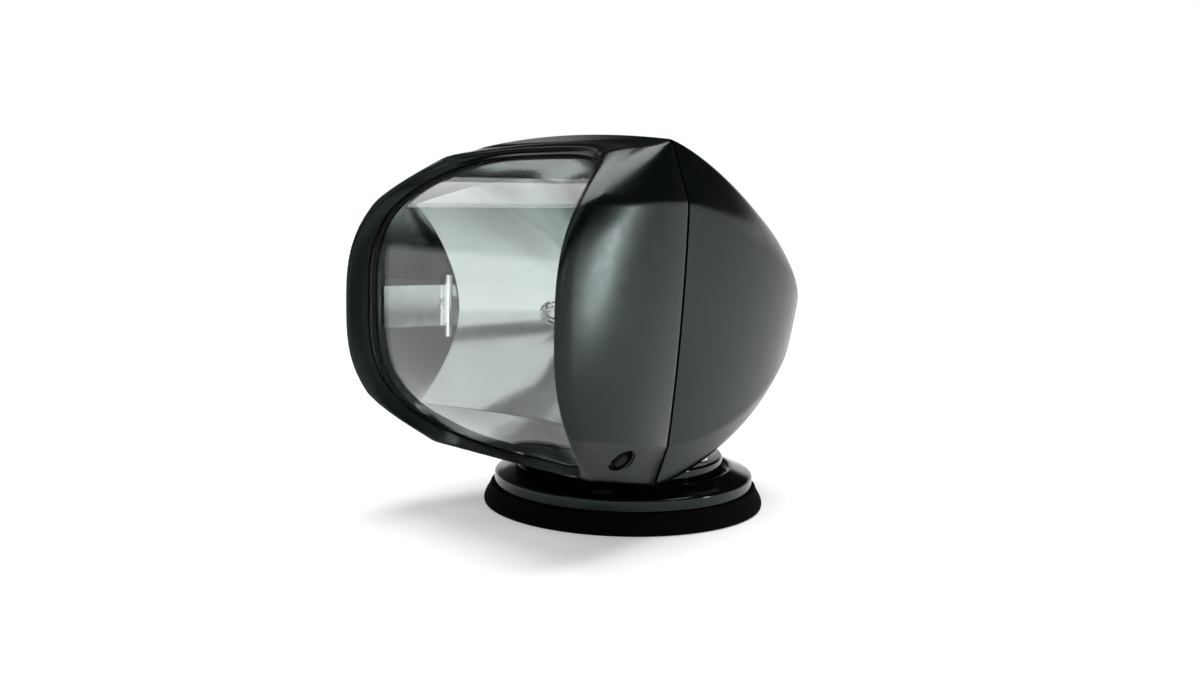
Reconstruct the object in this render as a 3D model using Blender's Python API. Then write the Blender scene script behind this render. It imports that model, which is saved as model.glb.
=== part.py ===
# Remote-controlled marine searchlight: a tilting head on a motorised turntable and a round deck base.
# Metres, +Z up. The beam points along -Y. The origin is the centre of the base's underside.
# The head is drawn round the tilt axis, level at rest.

import bpy
import bmesh
from math import atan2, cos, pi, radians, sin, tan, acos, sqrt
from mathutils import Vector

MM = 0.001

# Clearances
SEAT_GAP = 0.3 * MM
RUNNING_GAP = 0.6 * MM
HOLE_CLEARANCE = 0.25 * MM

# Head placing
HEAD_CLEARANCE = 2.5 * MM
TILT_UP_RANGE = radians(18.0)
TILT_DOWN_RANGE = radians(5.0)

# Deck base
GASKET_RADIUS = 70.0 * MM
GASKET_TOP_RADIUS = 66.6 * MM
GASKET_BORE_RADIUS = 49.0 * MM
GASKET_HEIGHT = 9.5 * MM
GASKET_LIP = 3.6 * MM
FLANGE_RADIUS = 64.7 * MM
FLANGE_BAND_HEIGHT = 6.0 * MM
FLANGE_FLOOR = 3.0 * MM
CONE_RISE = 3.4 * MM
CONE_INNER_RADIUS = 54.0 * MM
FLANGE_WALL = 3.0 * MM
DECK_HOLE_CIRCLE = 40.0 * MM
DECK_HOLE_RADIUS = 2.6 * MM
DECK_HOLE_COUNT = 4

# Turntable and its spindle
TURNTABLE_SIDE_GAP = 4.2 * MM
TURNTABLE_THICKNESS = 4.3 * MM
TURNTABLE_RISE = 5.6 * MM
TURNTABLE_HUB_RADIUS = 12.0 * MM
TURNTABLE_HUB_DROP = 2.4 * MM
TURNTABLE_EDGE_BEVEL = 0.8 * MM
SKIRT_THICKNESS = 1.6 * MM
SKIRT_DROP = 4.0 * MM
SPINDLE_RADIUS = 7.5 * MM
SPINDLE_BORE = 5.0 * MM
SPINDLE_FOOT_RADIUS = 12.5 * MM
SPINDLE_BELOW_FLOOR = 6.6 * MM
PAN_BUSH_WALL = 1.5 * MM
THRUST_WASHER_THICKNESS = 0.8 * MM
NUT_ACROSS_FLATS = 20.0 * MM
NUT_HEIGHT = 4.0 * MM

# Gears
GEAR_MODULE = 1.0 * MM
PRESSURE_ANGLE = radians(25.0)
ADDENDUM = 0.9
DEDENDUM = 1.15
TOOTH_PLAY = 0.16 * MM
PINION_TEETH = 15
SUN_TEETH = 45
SECTOR_TEETH = 72
SUN_BORE_RADIUS = 17.0 * MM
GEAR_WIDTH = 5.0 * MM
PINION_SHAFT_RADIUS = 2.0 * MM
PAN_PINION_BEARING = radians(112.0)
SECTOR_MARGIN = radians(9.0)
SECTOR_WIDTH = 4.0 * MM
SECTOR_HUB_RADIUS = 9.5 * MM
SECTOR_WINDOW_REACH = 22.5 * MM
SECTOR_WINDOW_RADIUS = 5.5 * MM

# Yoke
YOKE_THICKNESS = 3.0 * MM
YOKE_INSIDE = 41.0 * MM
YOKE_ARM_WIDTH = 26.0 * MM
YOKE_HEAD_RADIUS = 12.0 * MM
YOKE_FOOT_RADIUS = 43.0 * MM
YOKE_SCREW_CIRCLE = 36.0 * MM
YOKE_SCREW_ANGLE = radians(30.0)
AXLE_RADIUS = 5.0 * MM
AXLE_COLLAR_RADIUS = 7.6 * MM
TILT_BUSH_WALL = 2.2 * MM
TILT_BUSH_FLANGE = 1.4 * MM
AXLE_NUT_FLATS = 13.0 * MM
AXLE_NUT_HEIGHT = 3.2 * MM
AXLE_BOSS_RADIUS = 9.0 * MM
AXLE_BOSS_FACE = 53.0 * MM
AXLE_IN_BOSS = 11.0 * MM

# Motors and control board
MOTOR_RADIUS = 11.0 * MM
PAN_MOTOR_LENGTH = 32.0 * MM
TILT_MOTOR_LENGTH = 36.0 * MM
GEARBOX_LENGTH = 11.0 * MM
MOTOR_CAP_RADIUS = 4.0 * MM
MOTOR_CAP_LENGTH = 2.4 * MM
BRACKET_THICKNESS = 2.5 * MM
BOARD_SIZE = (40.0 * MM, 15.0 * MM, 1.6 * MM)
BOARD_OFFSET = 27.5 * MM
STANDOFF_HEIGHT = 4.0 * MM

# Head shell
WALL = 3.0 * MM
SEAM_Y = -41.3 * MM
SEAM_GAP = 1.2 * MM
SEAL_INSET = 1.3 * MM
SEAM_CORNERS = ((63.2 * MM, 78.8 * MM), (74.2 * MM, 51 * MM), (65.8 * MM, -54.2 * MM), (58.5 * MM, -73.5 * MM))
RIM_CORNERS = ((57.6 * MM, 75.6 * MM), (73 * MM, 52 * MM), (73 * MM, -43.3 * MM), (53.8 * MM, -68 * MM))
SEAM_FILLET = 3.5 * MM
RIM_FILLET = 4.0 * MM
TOP_CROWN = 3.6 * MM
BOTTOM_CROWN = 1.8 * MM
SIDE_CROWN = 1.5 * MM
CHEEK_BULGE = 3.0 * MM
VISOR_REACH = 115.3 * MM
BROW_REACH = 68.0 * MM
BROW_HEIGHT = 70.0 * MM
VISOR_UPPER_POWER = 3.2
VISOR_LOWER_POWER = 2.8
RIM_BEVEL_DEPTH = 6.0 * MM
BROW_DEPTH = 3.0 * MM
OPENING_HALF_WIDTH = 71.3 * MM
OPENING_TOP = 75.0 * MM
OPENING_BOTTOM = 69.3 * MM
OPENING_POWER = 3.6
LIP_SIDE_DEPTH = 9.5 * MM
LIP_TOP_DEPTH = 2.5 * MM
LIP_TAPER = 2.5 * MM
REBATE_STEP = 2.4 * MM
REAR_LENGTH = 139.0 * MM
REAR_FILLET = 30.0 * MM
REAR_END_SHARE = 0.985
REAR_WIDTH_CURVE = (2.08, 0.33)
REAR_TOP_CURVE = (1.35, 0.72)
REAR_BOTTOM_CURVE = (1.75, 1.02)
TAIL_DROP = 8.7 * MM
ARCH_HALF_WIDTH = 54.0 * MM
ARCH_FRONT_REACH = 57.0 * MM
ARCH_REAR_REACH = 68.0 * MM
ARCH_TOP = 20.0 * MM
CHEEK_SCREW_SHARE = 0.66
CHEEK_SCREW_DROP = 0.42
CHEEK_SCREW_RECESS = 6.0 * MM
CHEEK_SCREW_DEPTH = 2.8 * MM
CHEEK_SCREW_LENGTH = 1.8 * MM
CHEEK_SCREW_RADIUS = 2.0 * MM

# Lens, reflector and lamp
LENS_THICKNESS = 2.0 * MM
LENS_GAP = 0.7 * MM
LENS_SEAL_THICKNESS = 1.0 * MM
LENS_SEAL_WIDTH = 3.0 * MM
REFLECTOR_FOCUS = 22.3 * MM
REFLECTOR_APEX = -25.3 * MM
REFLECTOR_SIDE_MARGIN = 15.3 * MM
REFLECTOR_TOP = 48.5 * MM
REFLECTOR_TOP_CROWN = 12.0 * MM
REFLECTOR_BOTTOM = 45.5 * MM
REFLECTOR_BOTTOM_CROWN = 4.0 * MM
REFLECTOR_WALL = 1.5 * MM
BULB_HOLE_RADIUS = 11.0 * MM
BULB_RADIUS = 5.6 * MM
BULB_LENGTH = 24.0 * MM
BULB_BASE_RADIUS = 8.5 * MM
BULB_BASE_LENGTH = 12.0 * MM
HOLDER_RADIUS = 17.0 * MM
HOLDER_LENGTH = 12.0 * MM
CLIP_WIRE_RADIUS = 0.7 * MM
BEZEL_WALL = 1.5 * MM
BEZEL_STEEP_WALL = 6.0 * MM
POCKET_DEPTH = 14.0 * MM
SIDE_BRACKET_HALF_HEIGHT = 10.0 * MM
SIDE_BRACKET_THICKNESS = 1.6 * MM
SIDE_BOSS_RADIUS = 5.0 * MM
SIDE_POST_RADIUS = 2.0 * MM
SIDE_POST_HALF_HEIGHT = 15.0 * MM

# Facets
ROUND_STEPS = 40
SMALL_STEPS = 16
CORNER_POINTS = 3
SIDE_POINT_COUNTS = (1, 4, 1, 4, 1, 4, 1, 6)

COLOURS = {
    "gloss_black": ((0.035, 0.042, 0.040, 1.0), 0.16, 0.0),
    "rubber": ((0.012, 0.012, 0.012, 1.0), 0.75, 0.0),
    "clear_lens": ((0.86, 0.89, 0.89, 1.0), 0.05, 0.0),
    "mirror": ((0.78, 0.80, 0.79, 1.0), 0.12, 1.0),
    "trim_gloss": ((0.42, 0.44, 0.44, 1.0), 0.18, 0.4),
    "steel": ((0.56, 0.57, 0.58, 1.0), 0.32, 1.0),
    "bronze": ((0.62, 0.45, 0.24, 1.0), 0.38, 1.0),
    "nylon": ((0.80, 0.79, 0.74, 1.0), 0.55, 0.0),
    "bulb_glass": ((0.92, 0.94, 0.94, 1.0), 0.03, 0.0),
    "ceramic": ((0.85, 0.83, 0.78, 1.0), 0.6, 0.0),
    "circuit_green": ((0.03, 0.16, 0.07, 1.0), 0.45, 0.0),
}

# Heights that follow from the sizes above
FLANGE_BOTTOM = GASKET_HEIGHT + SEAT_GAP
FLOOR_TOP = FLANGE_BOTTOM + FLANGE_FLOOR
FLANGE_EDGE = FLANGE_BOTTOM + FLANGE_BAND_HEIGHT
CONE_TOP = FLANGE_EDGE + CONE_RISE
TURNTABLE_RADIUS = CONE_INNER_RADIUS - TURNTABLE_SIDE_GAP
TURNTABLE_TOP = CONE_TOP + TURNTABLE_RISE
TURNTABLE_BOTTOM = TURNTABLE_TOP - TURNTABLE_THICKNESS
HUB_BOTTOM = TURNTABLE_BOTTOM - TURNTABLE_HUB_DROP
WASHER_BOTTOM = HUB_BOTTOM - SEAT_GAP - THRUST_WASHER_THICKNESS
SPINDLE_SHOULDER = WASHER_BOTTOM - SEAT_GAP
YOKE_FLOOR_BOTTOM = TURNTABLE_TOP + SEAT_GAP
YOKE_FLOOR_TOP = YOKE_FLOOR_BOTTOM + YOKE_THICKNESS
PAN_CENTRES = GEAR_MODULE * (SUN_TEETH + PINION_TEETH) / 2
TILT_CENTRES = GEAR_MODULE * (SECTOR_TEETH + PINION_TEETH) / 2
GEAR_BOTTOM = FLOOR_TOP + SEAT_GAP
SECTOR_X = YOKE_INSIDE - TILT_BUSH_FLANGE - 2 * SEAT_GAP - SECTOR_WIDTH
HEAD_FOOT = BOTTOM_CROWN - SEAM_CORNERS[3][1]
TILT_AXIS_HEIGHT = CONE_TOP + HEAD_CLEARANCE + HEAD_FOOT
REFLECTOR_HALF_WIDTH = OPENING_HALF_WIDTH - REFLECTOR_SIDE_MARGIN
LENS_STACK = 2 * LENS_GAP + LENS_THICKNESS + LENS_SEAL_THICKNESS + SEAT_GAP
FRONT_EDGE_Y = SEAM_Y - SEAM_GAP / 2
REAR_EDGE_Y = SEAM_Y + SEAM_GAP / 2


def clear_scene():
    """Remove whatever the file holds, so that the script always starts empty."""
    for old in list(bpy.data.objects):
        bpy.data.objects.remove(old, do_unlink=True)


def material(name):
    """Return the named material, making it on first use."""
    found = bpy.data.materials.get(name)
    if found:
        return found
    colour, roughness, metallic = COLOURS[name]
    made = bpy.data.materials.new(name)
    made.use_nodes = True
    shader = made.node_tree.nodes["Principled BSDF"]
    shader.inputs["Base Color"].default_value = colour
    shader.inputs["Roughness"].default_value = roughness
    shader.inputs["Metallic"].default_value = metallic
    made.diffuse_color = colour
    return made


def empty(name, location, rotation=(0.0, 0.0, 0.0), parent=None):
    """An axis that pieces are parented to."""
    axis = bpy.data.objects.new(name, None)
    axis.location = location
    axis.rotation_euler = rotation
    axis.parent = parent
    bpy.context.collection.objects.link(axis)
    return axis


def new_object(name, mesh, colour, parent=None, location=(0, 0, 0), rotation=(0, 0, 0), smooth=True):
    """Link a mesh as one named piece."""
    piece = bpy.data.objects.new(name, mesh)
    piece.location = location
    piece.rotation_euler = rotation
    piece.parent = parent
    bpy.context.collection.objects.link(piece)
    if colour:
        mesh.materials.append(material(colour))
    if smooth:
        mesh.shade_smooth()
        mesh.set_sharp_from_angle(angle=radians(32))
    return piece


def mesh_from(bm, name):
    """Turn a bmesh into a mesh whose faces point out."""
    bmesh.ops.recalc_face_normals(bm, faces=bm.faces)
    mesh = bpy.data.meshes.new(name)
    bm.to_mesh(mesh)
    bm.free()
    return mesh


def ring_mesh(name, rings, around_again=False):
    """Skin a row of rings with the same count of points; the ends are capped or joined."""
    bm = bmesh.new()
    rows = [[bm.verts.new(point) for point in ring] for ring in rings]
    pairs = list(zip(rows, rows[1:]))
    if around_again:
        pairs.append((rows[-1], rows[0]))
    count = len(rows[0])
    for first, second in pairs:
        for i in range(count):
            j = (i + 1) % count
            bm.faces.new((first[i], first[j], second[j], second[i]))
    if not around_again:
        bm.faces.new(rows[0])
        bm.faces.new(rows[-1])
    return mesh_from(bm, name)


def lathe(name, profile, colour, steps=ROUND_STEPS, **placing):
    """Turn a closed profile of (radius, height) round Z with a Screw modifier."""
    mesh = bpy.data.meshes.new(name)
    points = [(radius, 0.0, height) for radius, height in profile]
    edges = [(i, (i + 1) % len(points)) for i in range(len(points))]
    if all(radius > 0 for radius, height in profile):
        mesh.from_pydata(points, edges, [])
    else:
        mesh.from_pydata(points, edges[:-1], [])
    piece = new_object(name, mesh, colour, smooth=False, **placing)
    screw = piece.modifiers.new("turn", "SCREW")
    screw.steps = steps
    screw.render_steps = steps
    screw.use_merge_vertices = True
    screw.merge_threshold = 0.00001
    screw.use_smooth_shade = False
    return piece


def tube(outer, inner, bottom, top):
    """Profile of a plain ring, its outer side running down."""
    return [(outer, top), (outer, bottom), (inner, bottom), (inner, top)]


def rod(radius, bottom, top, edge=0.0):
    """Profile of a solid rod with an optional bevelled edge, from the top of the axis down."""
    if edge:
        return [(0, top), (radius - edge, top), (radius, top - edge),
                (radius, bottom + edge), (radius - edge, bottom), (0, bottom)]
    return [(0, top), (radius, top), (radius, bottom), (0, bottom)]


def prism_mesh(name, outline, bottom, top):
    """Extrude a flat outline of (x, y) between two heights."""
    bm = bmesh.new()
    low = [bm.verts.new((x, y, bottom)) for x, y in outline]
    face = bm.faces.new(low)
    made = bmesh.ops.extrude_face_region(bm, geom=[face])
    moved = [item for item in made["geom"] if isinstance(item, bmesh.types.BMVert)]
    bmesh.ops.translate(bm, verts=moved, vec=(0, 0, top - bottom))
    return mesh_from(bm, name)


def box_mesh(name, low, high):
    """A box between two corners."""
    outline = [(low[0], low[1]), (high[0], low[1]), (high[0], high[1]), (low[0], high[1])]
    return prism_mesh(name, outline, low[2], high[2])


def circle(radius, count, centre=(0.0, 0.0), start=0.0):
    """Points of a circle in the plane."""
    turn = 2 * pi / count
    return [(centre[0] + radius * cos(start + turn * i), centre[1] + radius * sin(start + turn * i))
            for i in range(count)]


def arc(radius, first, last, count, centre=(0.0, 0.0)):
    """Points of an arc, both ends included."""
    step = (last - first) / (count - 1)
    return [(centre[0] + radius * cos(first + step * i), centre[1] + radius * sin(first + step * i))
            for i in range(count)]


def hexagon(flats):
    """Outline of a nut."""
    return circle(flats / 2 / cos(pi / 6), 6)


def boolean(piece, cutter, operation="DIFFERENCE"):
    """Cut or join a guide body, which stays hidden."""
    cutter.hide_render = True
    cutter.display_type = "WIRE"
    cut = piece.modifiers.new(cutter.name, "BOOLEAN")
    cut.operation = operation
    cut.object = cutter
    cut.solver = "EXACT"
    return cut


def cutter_rod(name, radius, low, high, parent=None, location=(0, 0, 0), rotation=(0, 0, 0), steps=SMALL_STEPS):
    """A round guide body for holes and bosses."""
    mesh = prism_mesh(name, circle(radius, steps), low, high)
    return new_object(name, mesh, None, parent, location, rotation, smooth=False)


def involute_point(base_radius, radius):
    """Polar angle of an involute at a radius."""
    roll = sqrt(max((radius / base_radius) ** 2 - 1, 0.0))
    return roll - atan2(roll, 1.0)


def tooth(teeth, centre_angle, flank_points=3):
    """Outline of one gear tooth, from its root through its tip to its other root."""
    pitch = GEAR_MODULE * teeth / 2
    base = pitch * cos(PRESSURE_ANGLE)
    tip = pitch + ADDENDUM * GEAR_MODULE
    root = pitch - DEDENDUM * GEAR_MODULE
    half = (pi * GEAR_MODULE / 2 - TOOTH_PLAY) / 2 / pitch + involute_point(base, pitch)
    foot = max(base, root)
    radii = [foot + (tip - foot) * i / (flank_points - 1) for i in range(flank_points)]
    flank = [(radius, half - involute_point(base, radius)) for radius in radii]
    if root < foot:
        flank.insert(0, (root, flank[0][1]))
    rising = [(radius, centre_angle - angle) for radius, angle in flank]
    falling = [(radius, centre_angle + angle) for radius, angle in reversed(flank)]
    return [(radius * cos(angle), radius * sin(angle)) for radius, angle in rising + falling]


def gear_outline(teeth, first=0.0, flank_points=3):
    """Whole gear outline with a tooth centred on the first angle."""
    points = []
    for i in range(teeth):
        points += tooth(teeth, first + 2 * pi * i / teeth, flank_points)
    return points


def corner_arc(before, corner, after, radius, count):
    """Fillet points where two sides of a section meet."""
    to_before = (before - corner).normalized()
    to_after = (after - corner).normalized()
    half = acos(max(-1.0, min(1.0, to_before.dot(to_after)))) / 2
    room = 0.45 * min((before - corner).length, (after - corner).length)
    radius = min(radius, room * tan(half))
    centre = corner + (to_before + to_after).normalized() * (radius / sin(half))
    start = corner + to_before * (radius / tan(half)) - centre
    end = corner + to_after * (radius / tan(half)) - centre
    first = atan2(start.y, start.x)
    sweep = (atan2(end.y, end.x) - first + pi) % (2 * pi) - pi
    return [centre + radius * Vector((cos(first + sweep * i / (count - 1)), sin(first + sweep * i / (count - 1))))
            for i in range(count)]


def side_points(start, end, crown, count):
    """Points inside one side of a section, bowed outward by its crown."""
    along = end - start
    outward = Vector((-along.y, along.x)).normalized()
    points = []
    for i in range(1, count + 1):
        share = i / (count + 1)
        points.append(start + along * share + outward * (crown * 4 * share * (1 - share)))
    return points


def head_section(corners, fillet, crown_scale=1.0):
    """Closed outline (x, z) of the head across the beam, from four corners mirrored to eight."""
    right = [Vector(corner) for corner in corners]
    left = [Vector((-corner.x, corner.y)) for corner in reversed(right)]
    loop = right + left
    crowns = (0.0, SIDE_CROWN, 0.0, BOTTOM_CROWN, 0.0, SIDE_CROWN, 0.0, TOP_CROWN)
    arcs = [corner_arc(loop[i - 1], loop[i], loop[(i + 1) % 8], fillet, CORNER_POINTS) for i in range(8)]
    points = []
    for i in range(8):
        points += arcs[i]
        points += side_points(arcs[i][-1], arcs[(i + 1) % 8][0], crowns[i] * crown_scale, SIDE_POINT_COUNTS[i])
    return points


def visor(z):
    """Front face of the head: how far forward the rim stands at a height."""
    power = VISOR_UPPER_POWER if z > 0 else VISOR_LOWER_POWER
    return -VISOR_REACH + (VISOR_REACH - BROW_REACH) * (abs(z) / BROW_HEIGHT) ** power


def lens_face(z):
    """Front of the lens: deep behind the rim's lip at the sides and the foot, close behind it under the brow."""
    rise = min(1.0, max(0.0, z / OPENING_TOP))
    return visor(z) + LIP_TOP_DEPTH + (LIP_SIDE_DEPTH - LIP_TOP_DEPTH) * (1 - rise ** 2)


def opening_point(x, z, grow=0.0):
    """Point of the lens opening in the direction of (x, z)."""
    angle = atan2(z, x)
    half_height = (OPENING_TOP if z > 0 else OPENING_BOTTOM) + grow
    across = abs(cos(angle)) / (OPENING_HALF_WIDTH + grow)
    upward = abs(sin(angle)) / half_height
    reach = (across ** OPENING_POWER + upward ** OPENING_POWER) ** (-1 / OPENING_POWER)
    return reach * cos(angle), reach * sin(angle)


def front_corners(share):
    """Section corners between the seam (0) and the rim (1)."""
    bulge = CHEEK_BULGE * 4 * share * (1 - share)
    corners = []
    for (seam_x, seam_z), (rim_x, rim_z) in zip(SEAM_CORNERS, RIM_CORNERS):
        corners.append((seam_x + (rim_x - seam_x) * share + bulge, seam_z + (rim_z - seam_z) * share))
    return corners


def front_section(share):
    """Outline of the front housing between the seam (0) and the rim (1)."""
    fillet = SEAM_FILLET + (RIM_FILLET - SEAM_FILLET) * share
    return head_section(front_corners(share), fillet)


def thinned(outline, wall):
    """Outline drawn in by a wall, side and top each by that much."""
    half_width = max(point[0] for point in outline)
    top = max(point[1] for point in outline)
    bottom = -min(point[1] for point in outline)
    shrink_x = 1 - wall / half_width
    return [(x * shrink_x, z * (1 - wall / (top if z > 0 else bottom))) for x, z in outline]


def rim_edge(z):
    """Outer edge of the rim's bevel at a height."""
    return visor(z) + RIM_BEVEL_DEPTH * max(0.0, 1 - (z / OPENING_TOP) ** 2)


def front_ring(share):
    """Ring of the front housing's outside, from the seam (0) to the rim (1)."""
    return [(x, FRONT_EDGE_Y + min(rim_edge(z) - FRONT_EDGE_Y, -BROW_DEPTH) * share, z)
            for x, z in front_section(share)]


def front_inner_ring(share):
    """Ring of the front housing's inside, which ends behind the lens seal."""
    ring = []
    for x, z in thinned(front_section(share), WALL):
        end = lens_face(z) + LENS_STACK
        ring.append((x, FRONT_EDGE_Y + min(end - FRONT_EDGE_Y, -BROW_DEPTH / 2) * share, z))
    return ring


def opening_ring(grow, depth=None):
    """Ring round the lens opening: on the rim's face, or a depth behind the front of the lens."""
    ring = []
    for x, z in front_section(1.0):
        open_x, open_z = opening_point(x, z, grow)
        y = visor(open_z) if depth is None else lens_face(open_z) + depth
        ring.append((open_x, y, open_z))
    return ring


def rim_mid_ring():
    """Ring halfway across the rim's face, level with the visor, which keeps the face full."""
    ring = []
    for outer, inner in zip(front_ring(1.0), opening_ring(0.0)):
        x, z = (outer[0] + inner[0]) / 2, (outer[2] + inner[2]) / 2
        ring.append((x, min(inner[1], (outer[1] + inner[1]) / 2), z))
    return ring


def arch_outline():
    """Outline of the underside opening that clears the turntable as the head tilts."""
    front = [(x * ARCH_HALF_WIDTH, y * ARCH_FRONT_REACH) for x, y in arc(1.0, pi, 2 * pi, 19)]
    rear = [(x * ARCH_HALF_WIDTH, y * ARCH_REAR_REACH) for x, y in arc(1.0, 0.0, pi, 19)]
    return front + rear[1:-1]


def arch_cutter(name, head):
    """Guide body that opens the underside."""
    mesh = prism_mesh(name, arch_outline(), -2 * HEAD_FOOT, -ARCH_TOP)
    return new_object(name, mesh, None, head, smooth=False)


def cheek_screw_frame(side):
    """Place and inward direction of a cheek screw, on the lower facet of the front housing."""
    share = CHEEK_SCREW_SHARE
    upper, lower = front_corners(share)[2], front_corners(share)[3]
    x = upper[0] + (lower[0] - upper[0]) * CHEEK_SCREW_DROP
    z = upper[1] + (lower[1] - upper[1]) * CHEEK_SCREW_DROP
    slope = Vector((upper[0] - lower[0], upper[1] - lower[1])).normalized()
    inward = Vector((-slope.y, 0.0, slope.x))
    place = Vector((x, FRONT_EDGE_Y + (rim_edge(z) - FRONT_EDGE_Y) * share, z))
    if side < 0:
        inward.x = -inward.x
        place.x = -place.x
    return place, inward


def make_front_housing(head):
    """Moulded front shell: brow, cheeks, chin and the lens rim in one piece."""
    shares = (0.0, 0.12, 0.3, 0.5, 0.7, 0.86, 1.0)
    rings = [front_ring(share) for share in shares]
    rings.append(rim_mid_ring())
    rings.append(opening_ring(0.0))
    rings.append(opening_ring(-LIP_TAPER, 0.0))
    rings.append(opening_ring(REBATE_STEP - LIP_TAPER, 0.0))
    rings.append(opening_ring(REBATE_STEP - LIP_TAPER, LENS_STACK))
    rings += [front_inner_ring(share) for share in (0.9, 0.45, 0.0)]
    mesh = ring_mesh("front_housing", rings, around_again=True)
    housing = new_object("front_housing", mesh, "gloss_black", head)
    boolean(housing, arch_cutter("front_arch", head))
    for side in (1, -1):
        cheek_screw_seat(housing, head, side)
    return housing


def facing(direction):
    """Rotation that turns Z into a direction."""
    return Vector(direction).to_track_quat("Z", "Y").to_euler()


def cheek_screw_seat(housing, head, side):
    """Sunk seat of a cheek screw: a boss inside the cheek, its recess and its hole."""
    label = "right" if side > 0 else "left"
    place, inward = cheek_screw_frame(side)
    turn = facing(inward)
    boss = cutter_rod("cheek_boss_" + label, CHEEK_SCREW_RECESS + MM, WALL / 2,
                      CHEEK_SCREW_DEPTH + WALL / 2, head, place, turn)
    boolean(housing, boss, "UNION")
    recess = cutter_rod("cheek_recess_" + label, CHEEK_SCREW_RECESS, -6 * MM, CHEEK_SCREW_DEPTH, head, place, turn)
    boolean(housing, recess)
    hole = cutter_rod("cheek_hole_" + label, CHEEK_SCREW_RADIUS + HOLE_CLEARANCE, 0.0,
                      CHEEK_SCREW_DEPTH + CHEEK_SCREW_LENGTH, head, place, turn)
    boolean(housing, hole)


def rear_ring(share, wall=0.0):
    """Ring of the rear housing's skin, from the seam (0) to the tail (1)."""
    width = (1 - share ** REAR_WIDTH_CURVE[0]) ** REAR_WIDTH_CURVE[1]
    top = (1 - share ** REAR_TOP_CURVE[0]) ** REAR_TOP_CURVE[1]
    bottom = (1 - share ** REAR_BOTTOM_CURVE[0]) ** REAR_BOTTOM_CURVE[1]
    corners = [(x * width, z * (top if z > 0 else bottom)) for x, z in SEAM_CORNERS]
    fillet = SEAM_FILLET + (REAR_FILLET - SEAM_FILLET) * share
    outline = head_section(corners, fillet, 1 - share)
    length = REAR_LENGTH - wall
    return [(x, REAR_EDGE_Y + share * length, z - TAIL_DROP * share) for x, z in thinned(outline, wall)]


def shell_side():
    """Half width of the rear housing where the tilt axis passes through it."""
    ring = rear_ring(-REAR_EDGE_Y / REAR_LENGTH)
    return min((point for point in ring if point[0] > 0), key=lambda point: abs(point[2]))[0]


def make_rear_housing(head):
    """Moulded rear shell with the bosses that hang the head on its two axles."""
    shares = (0.0, 0.12, 0.26, 0.4, 0.54, 0.67, 0.78, 0.87, 0.94, REAR_END_SHARE)
    rings = [rear_ring(share) for share in reversed(shares)]
    rings += [rear_ring(share, WALL) for share in (0.0, 0.26, 0.54, 0.78, 0.94)]
    mesh = ring_mesh("rear_housing", rings)
    housing = new_object("rear_housing", mesh, "gloss_black", head)
    boolean(housing, arch_cutter("rear_arch", head))
    wall_x = shell_side() - 0.75 * WALL
    for side, label in ((1, "right"), (-1, "left")):
        turn = (0, side * pi / 2, 0)
        boss = cutter_rod("axle_boss_" + label, AXLE_BOSS_RADIUS, AXLE_BOSS_FACE, wall_x, head, (0, 0, 0), turn)
        boolean(housing, boss, "UNION")
        bore = cutter_rod("axle_bore_" + label, AXLE_RADIUS + SEAT_GAP, AXLE_BOSS_FACE - MM,
                          AXLE_BOSS_FACE + AXLE_IN_BOSS + SEAT_GAP, head, (0, 0, 0), turn)
        boolean(housing, bore)
    return housing


def make_housing_seal(head):
    """Flat gasket in the seam between the two housings."""
    outline = front_section(0.0)
    outer = thinned(outline, SEAL_INSET)
    inner = thinned(outline, WALL)
    low, high = FRONT_EDGE_Y + SEAT_GAP, REAR_EDGE_Y - SEAT_GAP
    rings = [[(x, y, z) for x, z in line] for line, y in ((outer, low), (outer, high), (inner, high), (inner, low))]
    seal = new_object("housing_seal", ring_mesh("housing_seal", rings, around_again=True), "rubber", head)
    boolean(seal, arch_cutter("seal_arch", head))


def lens_ring(shrink, grow):
    """Ring of the lens's face, a share of its outline from the middle."""
    ring = []
    for x, z in front_section(1.0):
        open_x, open_z = opening_point(x, z, grow)
        ring.append((open_x * shrink, lens_face(open_z * shrink), open_z * shrink))
    return ring


def shifted(ring, setback):
    """Ring moved back along the beam."""
    return [(x, y + setback, z) for x, y, z in ring]


def make_lens(head):
    """Clear moulded lens, bowed like the visor, held behind the rim's lip."""
    grow = REBATE_STEP - LIP_TAPER - HOLE_CLEARANCE - SEAT_GAP
    inner = grow - LENS_SEAL_WIDTH
    face = [lens_ring(1.0, grow), lens_ring(1.0, inner), lens_ring(0.66, inner), lens_ring(0.25, inner)]
    rings = [shifted(ring, LENS_GAP) for ring in reversed(face)]
    rings += [shifted(ring, LENS_GAP + LENS_THICKNESS) for ring in face]
    new_object("lens", ring_mesh("lens", rings), "clear_lens", head)
    seal_front = 2 * LENS_GAP + LENS_THICKNESS
    seal_back = seal_front + LENS_SEAL_THICKNESS
    rings = [opening_ring(grow, seal_front), opening_ring(grow, seal_back),
             opening_ring(inner, seal_back), opening_ring(inner, seal_front)]
    new_object("lens_seal", ring_mesh("lens_seal", rings, around_again=True), "rubber", head)


def reflector_y(x, z):
    """Depth of the paraboloid."""
    return REFLECTOR_APEX - (x * x + z * z) / (4 * REFLECTOR_FOCUS)


def reflector_top(x):
    """Height of the reflector's top edge."""
    return REFLECTOR_TOP + REFLECTOR_TOP_CROWN * (1 - (x / REFLECTOR_HALF_WIDTH) ** 2)


def reflector_bottom(x):
    """Depth of the reflector's lower edge, below the beam's axis."""
    return REFLECTOR_BOTTOM + REFLECTOR_BOTTOM_CROWN * (1 - (x / REFLECTOR_HALF_WIDTH) ** 2)


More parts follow.
